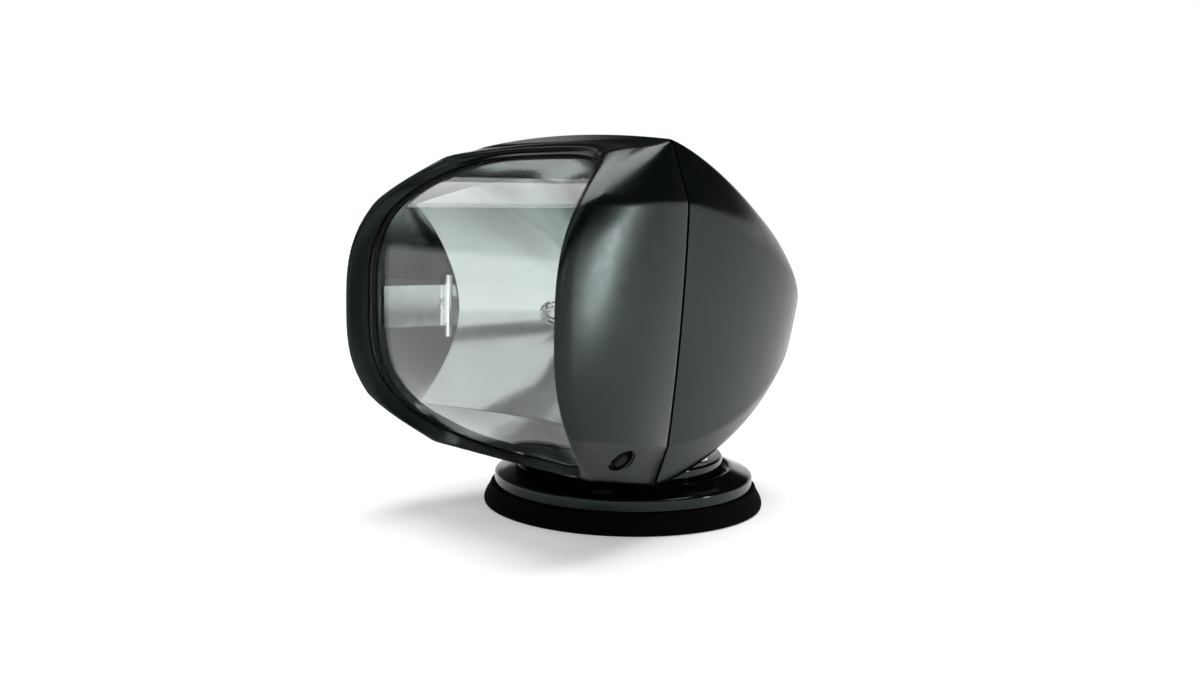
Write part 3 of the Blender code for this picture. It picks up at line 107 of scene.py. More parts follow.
REAR_TOP_CURVE = (1.35, 0.72)
REAR_BOTTOM_CURVE = (1.75, 1.02)
TAIL_DROP = 8.7 * MM
LENS_GAP = 0.7 * MM
LENS_THICKNESS = 2.0 * MM
SEAL_THICKNESS = 1.0 * MM
SEAL_WIDTH = 3.0 * MM
SEAT_GAP = 0.3 * MM
LENS_STACK = 2 * LENS_GAP + LENS_THICKNESS + SEAL_THICKNESS + SEAT_GAP
REFLECTOR_FOCUS = 22.3 * MM
REFLECTOR_APEX = -25.3 * MM
REFLECTOR_HALF_WIDTH = 56.0 * MM
REFLECTOR_WALL = 1.5 * MM
REFLECTOR_TOP = 48.5 * MM
REFLECTOR_TOP_CROWN = 12.0 * MM
REFLECTOR_BOTTOM = 45.5 * MM
REFLECTOR_BOTTOM_CROWN = 4.0 * MM
BULB_HOLE_RADIUS = 11.0 * MM
POCKET_DEPTH = 14.0 * MM
BEZEL_WALL = 1.5 * MM
BEZEL_STEEP_WALL = 6.0 * MM
BEZEL_MARGIN = 1.5 * SEAT_GAP
BEZEL_CURVE = 0.7
LENS_GROW = REBATE_STEP - LIP_TAPER - 0.55 * MM
SEAM_SEAL_INSET = 1.3 * MM
ARCH_HALF_WIDTH = 54.0 * MM
ARCH_FRONT_REACH = 57.0 * MM
ARCH_REAR_REACH = 68.0 * MM
ARCH_TOP = 20.0 * MM
ARCH_FOOT = 160.0 * MM
AXLE_BOSS_RADIUS = 9.0 * MM
AXLE_BOSS_ENDS = (53.0 * MM, 66.0 * MM)
AXLE_BORE_RADIUS = 5.3 * MM
AXLE_BORE_ENDS = (52.0 * MM, 64.3 * MM)
CHEEK_SCREW_SHARE = 0.66
CHEEK_SCREW_DROP = 0.42
SCREW_SEAT_RADIUS = 6.0 * MM
SCREW_SEAT_DEPTH = 2.8 * MM
SCREW_SEAT_FLARE = 0.5 * MM
SCREW_BOSS_RADIUS = 7.0 * MM
SCREW_BOSS_DEPTH = 4.3 * MM

# Fine fillets of the front housing
SEAM_EDGE_FILLET = 0.5 * MM
RIM_EDGE_FILLET = 1.6 * MM
LIP_FILLET = 0.7 * MM
REBATE_FILLET = 0.4 * MM
FILLET_SHARE = 0.45

# Base sizes, as in the CAD model: closed profiles of (radius, height) in millimetres
GASKET_PROFILE = ((66.6, 9.5), (67.1, 7.5), (68.5, 5.4), (69.7, 2.9), (70.0, 1.4), (69.7, 0.0), (49.0, 0.0),
                  (49.0, 9.5))
FLANGE_PROFILE = ((53.2, 19.2), (54.8, 19.05), (63.8, 15.8), (64.7, 15.0), (64.7, 9.8), (7.8, 9.8),
                  (7.8, 12.8), (52.0, 12.8), (52.0, 16.2), (53.2, 16.8))
TABLE_PROFILE = ((49.0, 24.8), (49.8, 24.0), (49.8, 20.5), (49.2, 20.5), (49.2, 16.5), (47.6, 16.5),
                 (47.6, 20.5), (12.0, 20.5), (12.0, 18.1), (9.6, 18.1), (9.6, 24.8))
GASKET_FILLET = 0.7
FLANGE_FILLET = 0.5
TABLE_FILLET = 0.4
DECK_HOLE_COUNT = 4
DECK_HOLE_PLACE = 40.0 * MM
DECK_HOLE_RADIUS = 2.6 * MM
DECK_HOLE_TOP = 19.0 * MM
PINION_PLACE = 30.0 * MM
PINION_BEARING = radians(112.0)
PINION_PASSAGE_RADIUS = 3.5 * MM
PINION_PASSAGE_TOP = 28.0 * MM

# Density of the smooth skins
CORNER_POINTS = 9
CORNER_SOFTNESS = (1.0, 2.6, 1.0, 1.0, 1.0, 1.0, 2.6, 1.0)
SIDE_POINTS = (5, 18, 5, 18, 5, 18, 5, 26)
CIRCLE_POINTS = 192
HOLE_POINTS = 32
CREASE_WIDTH = 24
CREASE_FADE = 50.0 * MM
SHARP_ANGLE = radians(38)
TRIM_SHARP_ANGLE = radians(50)


# Mesh helpers

def new_piece(name, mesh, material, body, slot, *nodes):
    """Link a piece, put its material on, and let it ride and stand for its CAD nodes."""
    piece = bpy.data.objects.new(name, mesh)
    bpy.context.scene.collection.objects.link(piece)
    mesh.materials.clear()
    mesh.materials.append(material)
    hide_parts(*nodes)
    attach(piece, body)
    return piece


def mesh_from(bm, name):
    """Smooth-shaded mesh of a bmesh."""
    bmesh.ops.recalc_face_normals(bm, faces=bm.faces)
    mesh = bpy.data.meshes.new(name)
    bm.to_mesh(mesh)
    bm.free()
    mesh.shade_smooth()
    return mesh


def ring_mesh(name, rings, around_again=False):
    """Skin a row of rings with the same count of points."""
    bm = bmesh.new()
    rows = [[bm.verts.new(point) for point in ring] for ring in rings]
    pairs = list(zip(rows, rows[1:]))
    if around_again:
        pairs.append((rows[-1], rows[0]))
    count = len(rows[0])
    for first, second in pairs:
        for i in range(count):
            j = (i + 1) % count
            bm.faces.new((first[i], first[j], second[j], second[i]))
    if not around_again:
        bm.faces.new(rows[0])
        bm.faces.new(rows[-1])
    return mesh_from(bm, name)


def blend(first, second, share):
    """Ring between two rings."""
    return [tuple(a + (b - a) * share for a, b in zip(p, q)) for p, q in zip(first, second)]


def rounded(before, ring, after, size, steps=4):
    """Rings that round the edge at one ring, from its neighbour before to its neighbour after."""
    rows = [[] for i in range(steps + 1)]
    for p, q, r in zip(before, ring, after):
        corner = Vector(q)
        start, end = Vector(p) - corner, Vector(r) - corner
        start = start.normalized() * min(size, start.length * FILLET_SHARE)
        end = end.normalized() * min(size, end.length * FILLET_SHARE)
        for i, row in enumerate(rows):
            t = i / steps
            row.append(tuple(corner + start * (1 - t) ** 2 + end * t ** 2))
    return rows


def soft_profile(profile, size):
    """Closed profile of (radius, height) with each corner rounded."""
    points = []
    for i, (r, z) in enumerate(profile):
        corner = Vector((r, z))
        start = Vector(profile[i - 1]) - corner
        end = Vector(profile[(i + 1) % len(profile)]) - corner
        start = start.normalized() * min(size, start.length * FILLET_SHARE)
        end = end.normalized() * min(size, end.length * FILLET_SHARE)
        points += [tuple(corner + start * (1 - t) ** 2 + end * t ** 2) for t in (0, 0.25, 0.5, 0.75, 1)]
    return points


def turned(name, profile, size):
    """Mesh of a closed profile turned round Z."""
    rings = []
    for radius, height in soft_profile([(r * MM, z * MM) for r, z in profile], size * MM):
        turn = 2 * pi / CIRCLE_POINTS
        rings.append([(radius * cos(turn * i), radius * sin(turn * i), height) for i in range(CIRCLE_POINTS)])
    return ring_mesh(name, rings, around_again=True)


def cylinder_mesh(radius, low, high, flare=0.0, steps=64):
    """Cutter along its own Z; a flare widens it outside the surface that it starts from."""
    profile = [(radius, low), (radius, high)]
    if flare:
        profile = [(radius + flare, low), (radius + flare, 0.0), (radius, flare), (radius, high)]
    rings = [[(r * cos(2 * pi * i / steps), r * sin(2 * pi * i / steps), z) for i in range(steps)]
             for r, z in profile]
    return ring_mesh("cutter", rings)


def cut(mesh, cutters):
    """Boolean cutters of (operation, mesh, matrix) applied to a mesh."""
    piece = bpy.data.objects.new("uncut", mesh)
    bpy.context.scene.collection.objects.link(piece)
    helpers = []
    for operation, shape, place in cutters:
        helper = bpy.data.objects.new("cutter", shape)
        helper.matrix_world = place
        bpy.context.scene.collection.objects.link(helper)
        helpers.append(helper)
        modifier = piece.modifiers.new("cut", "BOOLEAN")
        modifier.operation = operation
        modifier.object = helper
        modifier.solver = "EXACT"
    bpy.context.view_layer.update()
    done = bpy.data.meshes.new_from_object(piece.evaluated_get(bpy.context.evaluated_depsgraph_get()))
    for helper in helpers + [piece]:
        bpy.data.objects.remove(helper, do_unlink=True)
    done.shade_smooth()
    done.set_sharp_from_angle(angle=SHARP_ANGLE)
    return done


# Head shape, the CAD model's curves with more points

def to_metres(corners):
    """Corners from millimetres to metres."""
    return [(x * MM, z * MM) for x, z in corners]


def corner_arc(before, corner, after, radius):
    """Fillet where two sides of a section meet."""
    to_before = (before - corner).normalized()
    to_after = (after - corner).normalized()
    half = acos(max(-1.0, min(1.0, to_before.dot(to_after)))) / 2
    room = FILLET_SHARE * min((before - corner).length, (after - corner).length)
    radius = min(radius, room * tan(half))
    centre = corner + (to_before + to_after).normalized() * (radius / sin(half))
    start = corner + to_before * (radius / tan(half)) - centre
    end = corner + to_after * (radius / tan(half)) - centre
    first = atan2(start.y, start.x)
    sweep = (atan2(end.y, end.x) - first + pi) % (2 * pi) - pi
    turns = [first + sweep * i / (CORNER_POINTS - 1) for i in range(CORNER_POINTS)]
    return [centre + radius * Vector((cos(turn), sin(turn))) for turn in turns]


def head_section(corners, fillet, crown_scale=1.0):
    """Outline (x, z) of the head across the beam, four corners mirrored to eight."""
    right = [Vector(corner) for corner in corners]
    loop = right + [Vector((-corner.x, corner.y)) for corner in reversed(right)]
    crowns = (0.0, SIDE_CROWN, 0.0, BOTTOM_CROWN, 0.0, SIDE_CROWN, 0.0, TOP_CROWN)
    arcs = [corner_arc(loop[i - 1], loop[i], loop[(i + 1) % 8], fillet * CORNER_SOFTNESS[i])
            for i in range(8)]
    points = []
    for i in range(8):
        points += arcs[i]
        start, end = arcs[i][-1], arcs[(i + 1) % 8][0]
        along = end - start
        outward = Vector((-along.y, along.x)).normalized()
        for k in range(1, SIDE_POINTS[i] + 1):
            share = k / (SIDE_POINTS[i] + 1)
            rise = crowns[i] * crown_scale * 4 * share * (1 - share)
            points.append(start + along * share + outward * rise)
    return points


def visor(z):
    """Y of the rim's face at a height, seen from the side."""
    power = VISOR_UPPER_POWER if z > 0 else VISOR_LOWER_POWER
    return -VISOR_REACH + (VISOR_REACH - BROW_REACH) * (abs(z) / BROW_HEIGHT) ** power


def lens_face(z):
    """Y that the lens lies behind, set back from the rim more at the sides than at the top."""
    rise = min(1.0, max(0.0, z / OPENING_TOP))
    return visor(z) + LIP_TOP_DEPTH + (LIP_SIDE_DEPTH - LIP_TOP_DEPTH) * (1 - rise ** 2)


def opening_point(x, z, grow=0.0):
    """Point of the rim's opening in the direction of (x, z)."""
    angle = atan2(z, x)
    half_height = (OPENING_TOP if z > 0 else OPENING_BOTTOM) + grow
    across = abs(cos(angle)) / (OPENING_HALF_WIDTH + grow)
    upward = abs(sin(angle)) / half_height
    reach = (across ** OPENING_POWER + upward ** OPENING_POWER) ** (-1 / OPENING_POWER)
    return reach * cos(angle), reach * sin(angle)


def front_section(share):
    """Section of the front housing between the seam (0) and the rim (1)."""
    bulge = CHEEK_BULGE * 4 * share * (1 - share)
    corners = []
    for (seam_x, seam_z), (rim_x, rim_z) in zip(to_metres(SEAM_CORNERS), to_metres(RIM_CORNERS)):
        corners.append((seam_x + (rim_x - seam_x) * share + bulge, seam_z + (rim_z - seam_z) * share))
    return head_section(corners, SEAM_FILLET + (RIM_FILLET - SEAM_FILLET) * share)


def thinned(outline, wall):
    """Section brought in by a wall on all sides."""
    half_width = max(point[0] for point in outline)
    top = max(point[1] for point in outline)
    bottom = -min(point[1] for point in outline)
    return [(x * (1 - wall / half_width), z * (1 - wall / (top if z > 0 else bottom))) for x, z in outline]


def rim_edge(z):
    """Y of the rim's outer edge, behind its face by the bevel."""
    return visor(z) + RIM_BEVEL_DEPTH * max(0.0, 1 - (z / OPENING_TOP) ** 2)


def placed(ring):
    """Ring moved from the tilt axis to its place in the model."""
    return [(x, y, z + AXIS_HEIGHT) for x, y, z in ring]


def front_ring(share):
    """Outer ring of the front housing."""
    return placed([(x, FRONT_EDGE_Y + min(rim_edge(z) - FRONT_EDGE_Y, -BROW_DEPTH) * share, z)
                   for x, z in front_section(share)])


def front_inner_ring(share):
    """Ring of the front housing's inner skin."""
    ring = []
    for x, z in thinned(front_section(share), WALL):
        end = lens_face(z) + LENS_STACK
        ring.append((x, FRONT_EDGE_Y + min(end - FRONT_EDGE_Y, -BROW_DEPTH / 2) * share, z))
    return placed(ring)


def opening_ring(grow, depth=None):
    """Ring of the opening, on the rim's face or a depth behind the lens face."""
    ring = []
    for x, z in front_section(1.0):
        open_x, open_z = opening_point(x, z, grow)
        y = visor(open_z) if depth is None else lens_face(open_z) + depth
        ring.append((open_x, y, open_z))
    return placed(ring)


def rim_face(outer, inner, share):
    """Ring on the rim's face between its outer edge (0) and its lip (1), full in the middle."""
    ring = []
    for p, q in zip(outer, inner):
        middle = Vector((p[0] + q[0], 0, p[2] + q[2])) / 2
        middle.y = min(q[1], (p[1] + q[1]) / 2)
        point = (Vector(p) * (2 * share - 1) * (share - 1) + middle * 4 * share * (1 - share)
                 + Vector(q) * share * (2 * share - 1))
        ring.append(tuple(point))
    return ring


def lens_ring(shrink, grow, setback):
    """Ring of the lens, shrunk toward its middle."""
    ring = []
    for x, z in front_section(1.0):
        open_x, open_z = opening_point(x, z, grow)
        ring.append((open_x * shrink, lens_face(open_z * shrink) + setback, open_z * shrink))
    return placed(ring)


def rear_ring(share, wall=0.0):
    """Ring of the rear housing between the seam (0) and the tail (1)."""
    width = (1 - share ** REAR_WIDTH_CURVE[0]) ** REAR_WIDTH_CURVE[1]
    top = (1 - share ** REAR_TOP_CURVE[0]) ** REAR_TOP_CURVE[1]
    bottom = (1 - share ** REAR_BOTTOM_CURVE[0]) ** REAR_BOTTOM_CURVE[1]
    corners = [(x * width, z * (top if z > 0 else bottom)) for x, z in to_metres(SEAM_CORNERS)]
    outline = head_section(corners, SEAM_FILLET + (REAR_FILLET - SEAM_FILLET) * share, 1 - share)
    return placed([(x, REAR_EDGE_Y + share * (REAR_LENGTH - wall), z - TAIL_DROP * share)
                   for x, z in thinned(outline, wall)])


def reflector_y(x, z):
    """Y of the reflector's front skin, a paraboloid."""
    return REFLECTOR_APEX - (x * x + z * z) / (4 * REFLECTOR_FOCUS)


def reflector_top(x):
    """Height of the reflector's upper edge over the tilt axis."""
    return REFLECTOR_TOP + REFLECTOR_TOP_CROWN * (1 - (x / REFLECTOR_HALF_WIDTH) ** 2)


def reflector_bottom(x):
    """Depth of the reflector's lower edge under the tilt axis."""
    return REFLECTOR_BOTTOM + REFLECTOR_BOTTOM_CROWN * (1 - (x / REFLECTOR_HALF_WIDTH) ** 2)


def arch_mesh():
    """Cutter of the underside opening, the same as in the CAD model."""
    outline = []
    for i in range(80):
        turn = pi + pi * i / 40
        reach = ARCH_FRONT_REACH if i <= 40 else ARCH_REAR_REACH
        outline.append((ARCH_HALF_WIDTH * cos(turn), reach * sin(turn)))
    rings = [[(x, y, z) for x, y in outline] for z in (-ARCH_FOOT, -ARCH_TOP)]
    return ring_mesh("arch", rings)


# Materials

RELIEF_DEPTH = 0.3 * MM
BLACK_TINT = (0.80, 1.0, 0.98, 1.0)
CLEAR_WHITE = (0.97, 0.99, 0.99)
CLEAR_IOR = 1.45
# Where the trim's colour is darkened as painted shade in the side pockets: its reach across and its height
# over the tilt axis
POCKET_START, POCKET_FULL = 55.5 * MM, 58.5 * MM
POCKET_TOP, POCKET_MIDDLE = 44.0 * MM, 34.0 * MM


class Graph:
    """A material's node tree, with short calls to add and join nodes."""

    def __init__(self, name):
        self.material = bpy.data.materials.new(name)
        self.material.use_nodes = True
        self.tree = self.material.node_tree
        self.shader = self.tree.nodes["Principled BSDF"]
        self.coords = self.add("ShaderNodeTexCoord").outputs["Object"]

    def add(self, kind, **values):
        """Add a node and set its properties and its sockets' values."""
        node = self.tree.nodes.new(kind)
        for key, value in values.items():
            if key in node.inputs:
                node.inputs[key].default_value = value
            else:
                setattr(node, key, value)
        return node

    def join(self, output, target):
        """Link an output to an input."""
        self.tree.links.new(output, target)

    def maths(self, operation, *terms):
        """Math node; each term is an output or a number."""
        node = self.add("ShaderNodeMath", operation=operation)
        for term, target in zip(terms, node.inputs):
            if isinstance(term, float):
                target.default_value = term
            else:
                self.join(term, target)
        return node.outputs["Value"]

    def noise(self, scale, detail=4.0, roughness=0.6, stretch=None):
        """Noise over the object's own coordinates, in metres."""
        node = self.add("ShaderNodeTexNoise", Scale=scale, Detail=detail, Roughness=roughness)
        source = self.coords
        if stretch:
            mapping = self.add("ShaderNodeMapping")
            mapping.inputs["Scale"].default_value = stretch
            self.join(source, mapping.inputs["Vector"])
            source = mapping.outputs["Vector"]
        self.join(source, node.inputs["Vector"])
        return node.outputs["Fac"]

    def ramp(self, source, *stops):
        """Colour ramp from (position, colour) stops."""
        node = self.add("ShaderNodeValToRGB")
        elements = node.color_ramp.elements
        while len(elements) < len(stops):
            elements.new(0.5)
        for element, (position, colour) in zip(elements, stops):
            element.position = position
            element.color = (*colour, 1.0)
        self.join(source, node.inputs["Fac"])
        return node.outputs["Color"]

    def spread(self, source, low, high):
        """Map the middle of a noise onto a narrow range."""
        node = self.add("ShaderNodeMapRange")
        node.inputs["From Min"].default_value = 0.25
        node.inputs["From Max"].default_value = 0.75
        node.inputs["To Min"].default_value = low
        node.inputs["To Max"].default_value = high
        self.join(source, node.inputs["Value"])
        return node.outputs["Result"]

    def step(self, source, start, end):
        """Ramp from 0 at the start to 1 at the end, in metres."""
        node = self.add("ShaderNodeMapRange")
        node.inputs["From Min"].default_value = start
        node.inputs["From Max"].default_value = end
        self.join(source, node.inputs["Value"])
        return node.outputs["Result"]

    def bump(self, source, strength, distance):
        """Fine relief on the shader's normal."""
        node = self.add("ShaderNodeBump", Strength=strength, Distance=distance)
        self.join(source, node.inputs["Height"])
        self.join(node.outputs["Normal"], self.shader.inputs["Normal"])


def plain(name, dark, light, roughness, metallic=0.0, scale=60.0, bump=0.0, stretch=None, **constants):
    """A surface whose colour and roughness drift a little over a fine noise."""
    graph = Graph(name)
    noise = graph.noise(scale, stretch=stretch)
    graph.join(graph.ramp(noise, (0.3, dark), (0.7, light)), graph.shader.inputs["Base Color"])
    fine = graph.noise(scale * 6, stretch=stretch)
    graph.join(graph.spread(fine, roughness * 0.85, roughness * 1.2), graph.shader.inputs["Roughness"])
    graph.shader.inputs["Metallic"].default_value = metallic
    for key, value in constants.items():
        graph.shader.inputs[key.replace("_", " ")].default_value = value
    if bump:
        graph.bump(fine, bump, RELIEF_DEPTH)
    return graph.material


def clear(name, tint, roughness):
    """Clear moulding."""
    graph = Graph(name)
    noise = graph.noise(18.0)
    graph.join(graph.ramp(noise, (0.3, tint), (0.7, CLEAR_WHITE)), graph.shader.inputs["Base Color"])
    graph.join(graph.spread(noise, roughness, roughness * 1.6), graph.shader.inputs["Roughness"])
    graph.shader.inputs["IOR"].default_value = CLEAR_IOR
    graph.shader.inputs["Specular IOR Level"].default_value = 0.2
    graph.shader.inputs["Transmission Weight"].default_value = 1.0
    return graph.material


gloss_black = plain("moulded_gloss_black", (0.0012, 0.0018, 0.0018), (0.0022, 0.0032, 0.0032), 0.22, scale=30,
                    bump=0.015, Specular_Tint=BLACK_TINT, Specular_IOR_Level=0.3)
base_gloss = plain("turned_gloss_black", (0.001, 0.0015, 0.0015), (0.002, 0.003, 0.003), 0.10, scale=40,
                   bump=0.01, Specular_Tint=BLACK_TINT, Specular_IOR_Level=0.3)
rubber = plain("rubber_black", (0.0008, 0.0008, 0.0008), (0.002, 0.002, 0.002), 0.9, scale=300, bump=0.10,
               Specular_IOR_Level=0.05)
dark_seal = plain("seal_black", (0.002, 0.002, 0.002), (0.004, 0.004, 0.004), 0.6, scale=300, bump=0.05)
steel = plain("steel_brushed", (0.42, 0.43, 0.44), (0.60, 0.61, 0.62), 0.3, metallic=1.0, scale=200,
              stretch=(1, 1, 12))
black_screw = plain("screw_blackened", (0.001, 0.001, 0.001), (0.003, 0.003, 0.003), 0.5, scale=200,
                    Specular_IOR_Level=0.1)
chrome = plain("bracket_chromed", (0.72, 0.75, 0.74), (0.86, 0.88, 0.87), 0.16, metallic=1.0, scale=80)
bronze = plain("bronze_turned", (0.50, 0.34, 0.16), (0.66, 0.48, 0.26), 0.35, metallic=1.0, scale=200)
nylon = plain("nylon_natural", (0.66, 0.65, 0.60), (0.78, 0.77, 0.72), 0.5, scale=120)
ceramic = plain("ceramic_white", (0.74, 0.72, 0.66), (0.84, 0.82, 0.77), 0.6, scale=150)
board_green = plain("board_green", (0.015, 0.10, 0.04), (0.03, 0.17, 0.08), 0.4, scale=500)
mirror = plain("mirror_metallised", (0.50, 0.545, 0.535), (0.57, 0.615, 0.60), 0.16, metallic=1.0, scale=25)


def trim_with_painted_pocket_shade():
    """Metallised trim above and below the reflector, with painted shade in the pockets beside it."""
    graph = Graph("trim_metallised")
    parts = graph.add("ShaderNodeSeparateXYZ")
    graph.join(graph.coords, parts.inputs["Vector"])
    # Mask of the painted shade: beside the reflector and within the pockets' height
    pocket_shade_across = graph.step(graph.maths("ABSOLUTE", parts.outputs["X"]), POCKET_START, POCKET_FULL)
    height = graph.maths("ABSOLUTE", graph.maths("SUBTRACT", parts.outputs["Z"], AXIS_HEIGHT))
    pocket_shade_height = graph.step(height, POCKET_TOP, POCKET_MIDDLE)
    light = graph.ramp(graph.noise(30.0), (0.3, (0.24, 0.26, 0.255)), (0.7, (0.30, 0.325, 0.32)))
    pocket_shade_streaks = graph.noise(70.0, stretch=(1, 1, 0.3))
    # Painted shade of the pockets: a near-black, streaked colour in place of the metallised grey
    dark = graph.ramp(pocket_shade_streaks, (0.35, (0.02, 0.024, 0.024)), (0.65, (0.08, 0.09, 0.088)))
    mix = graph.add("ShaderNodeMix", data_type="RGBA")
    graph.join(graph.maths("MULTIPLY", pocket_shade_across, pocket_shade_height), mix.inputs["Factor"])
    graph.join(light, mix.inputs["A"])
    graph.join(dark, mix.inputs["B"])
    graph.join(mix.outputs["Result"], graph.shader.inputs["Base Color"])
    graph.join(graph.spread(graph.noise(90.0), 0.12, 0.18), graph.shader.inputs["Roughness"])
    graph.shader.inputs["Metallic"].default_value = 0.85
    return graph.material


trim = trim_with_painted_pocket_shade()
lens_clear = clear("lens_clear", (0.93, 0.96, 0.96), 0.01)
bulb_glass = clear("bulb_glass", (0.97, 0.98, 0.98), 0.01)


def dress(material, *names):
    """Put a material on every slot of these CAD nodes."""
    for name in names:
        for slot in NODES[name].material_slots:
            slot.link = "OBJECT"
            slot.material = material


dress(rubber, "cable_grommet")
dress(steel, "pan_spindle", "spindle_locknut", "turntable_nut", "yoke", "pan_motor", "tilt_motor",
      "tilt_motor_bracket", "bulb_base", "retaining_clip", "tilt_axle_left", "tilt_axle_right",
      "left_axle_collar", "sector_nut", *(f"yoke_screw_{i}" for i in range(1, 5)))
dress(black_screw, "cheek_screw_left", "cheek_screw_right")
dress(chrome, "side_bracket_left", "side_bracket_right")
dress(bronze, "thrust_washer", "pan_bush", "tilt_bush_left", "tilt_bush_right")
dress(nylon, "pan_sun_gear", "pan_pinion", "tilt_pinion", "tilt_sector_gear",
      *(f"board_standoff_{i}" for i in range(1, 5)))
dress(ceramic, "bulb_holder")
dress(board_green, "control_board")
dress(bulb_glass, "bulb")


# Head pieces

def slot_of(node):
    """The name of a CAD node's own material, in its first slot."""
    return NODES[node].material_slots[0].material.name


def make_front_housing():
    """Front shell: outer skin, rim, lip, lens rebate, inner skin, arch and screw seats."""
    outer = [front_ring(i / 24) for i in range(25)]
    lip = opening_ring(0.0)
    face = [rim_face(outer[-1], lip, share) for share in (0.12, 0.25, 0.4, 0.55, 0.7, 0.85)]
    inside = opening_ring(-LIP_TAPER, 0.0)
    step = opening_ring(REBATE_STEP - LIP_TAPER, 0.0)
    rebate = opening_ring(REBATE_STEP - LIP_TAPER, LENS_STACK)
    back = [front_inner_ring(share) for share in (0.9, 0.7, 0.45, 0.2, 0.0)]
    rings = rounded(back[-1], outer[0], outer[1], SEAM_EDGE_FILLET)[2:] + outer[1:-1]
    rings += rounded(outer[-2], outer[-1], face[0], RIM_EDGE_FILLET) + face
    rings += rounded(face[-1], lip, inside, LIP_FILLET) + [blend(lip, inside, 0.5)]
    rings += rounded(lip, inside, step, REBATE_FILLET) + [step, rebate] + back
    mesh = ring_mesh("front_housing", rings, around_again=True)
    cutters = [("DIFFERENCE", arch_mesh(), Matrix.Translation((0, 0, AXIS_HEIGHT)))]
    for place, inward in cheek_screw_places():
        turn = inward.to_track_quat("Z", "Y").to_matrix().to_4x4()
        turn.translation = place
        boss = cylinder_mesh(SCREW_BOSS_RADIUS, WALL / 2, SCREW_BOSS_DEPTH)
        seat = cylinder_mesh(SCREW_SEAT_RADIUS, -SCREW_SEAT_RADIUS, SCREW_SEAT_DEPTH, SCREW_SEAT_FLARE)
        cutters += [("UNION", boss, turn), ("DIFFERENCE", seat, turn)]
    return cut(mesh, cutters)


def cheek_screw_places():
    """Places and inward directions of the two cheek screws."""
    share = CHEEK_SCREW_SHARE
    bulge = CHEEK_BULGE * 4 * share * (1 - share)
    corners = []
    for seam, rim in ((SEAM_CORNERS[2], RIM_CORNERS[2]), (SEAM_CORNERS[3], RIM_CORNERS[3])):
        corners.append(Vector(seam).lerp(Vector(rim), share) * MM)
    upper, lower = corners
    slope = (upper - lower).normalized()
    x, z = upper + (lower - upper) * CHEEK_SCREW_DROP
    y = FRONT_EDGE_Y + (rim_edge(z) - FRONT_EDGE_Y) * share
    return [(Vector((side * (x + bulge), y, z + AXIS_HEIGHT)), Vector((-side * slope.y, 0, slope.x)))
            for side in (1, -1)]


def make_rear_housing():
    """Rear shell with its arch, the bosses of the tilt axles and their bores."""
    outer = [0.0, 0.01, 0.03] + [0.06 + 0.04 * i for i in range(21)] + [0.89, 0.915, 0.94, 0.96, 0.975, 0.985]
    inner = (0.0, 0.13, 0.26, 0.4, 0.54, 0.67, 0.78, 0.87, 0.94)
    rings = [rear_ring(share) for share in reversed(outer)]
    rings += [rear_ring(share, WALL) for share in inner]
    mesh = ring_mesh("rear_housing", rings)
    cutters = [("DIFFERENCE", arch_mesh(), Matrix.Translation((0, 0, AXIS_HEIGHT)))]
    for side in (1, -1):
        turn = Matrix.Rotation(side * pi / 2, 4, "Y")
        turn.translation = (0, 0, AXIS_HEIGHT)
        cutters.append(("UNION", cylinder_mesh(AXLE_BOSS_RADIUS, *AXLE_BOSS_ENDS), turn))
        cutters.append(("DIFFERENCE", cylinder_mesh(AXLE_BORE_RADIUS, *AXLE_BORE_ENDS), turn))
    return cut(mesh, cutters)


def make_housing_seal():
    """Seal in the seam between the two shells."""
    outline = front_section(0.0)
    outer, inner = thinned(outline, SEAM_SEAL_INSET), thinned(outline, WALL)
    low, high = FRONT_EDGE_Y + SEAT_GAP, REAR_EDGE_Y - SEAT_GAP
    rings = [placed([(x, y, z) for x, z in line])
             for line, y in ((outer, low), (outer, high), (inner, high), (inner, low))]
    mesh = ring_mesh("housing_seal", rings, around_again=True)
    return cut(mesh, [("DIFFERENCE", arch_mesh(), Matrix.Translation((0, 0, AXIS_HEIGHT)))])


def make_lens():
    """Lens moulding, bowed in height, with its flat border."""
    inner = LENS_GROW - SEAL_WIDTH
    shrinks = [1.0, 0.985] + [0.96 - 0.04 * i for i in range(23)] + [0.03]
    front = [lens_ring(1.0, LENS_GROW, LENS_GAP)] + [lens_ring(share, inner, LENS_GAP) for share in shrinks]
    back = [lens_ring(1.0, LENS_GROW, LENS_GAP + LENS_THICKNESS)]
    back += [lens_ring(share, inner, LENS_GAP + LENS_THICKNESS) for share in shrinks]
    return ring_mesh("lens", list(reversed(front)) + back)


def make_lens_seal():
    """Seal behind the lens's border."""
    front = 2 * LENS_GAP + LENS_THICKNESS
    inner = LENS_GROW - SEAL_WIDTH
    back = front + SEAL_THICKNESS
    rings = [opening_ring(grow, depth) for grow, depth in
             ((LENS_GROW, front), (LENS_GROW, back), (inner, back), (inner, front))]
    return ring_mesh("lens_seal", rings, around_again=True)


# Ridges of the reflector: bearing in degrees and height in millimetres
CREASES = ((22, 1.0), (-35, 1.0), (60, 0.7), (-72, 0.6), (120, 0.7), (158, 1.0), (-145, 1.0), (-108, 0.6))


def crease(x, z):
    """Shallow radial ridges where the reflector's facets meet."""
    angle = atan2(z, x) * 180 / pi
    reach = min(1.0, (x * x + z * z) ** 0.5 / CREASE_FADE)
    height = 0.0
    for centre, size in CREASES:
        away = abs((angle - centre + 180) % 360 - 180)
        height = max(height, size * max(0.0, 1 - away / CREASE_WIDTH))
    return height * reach * MM


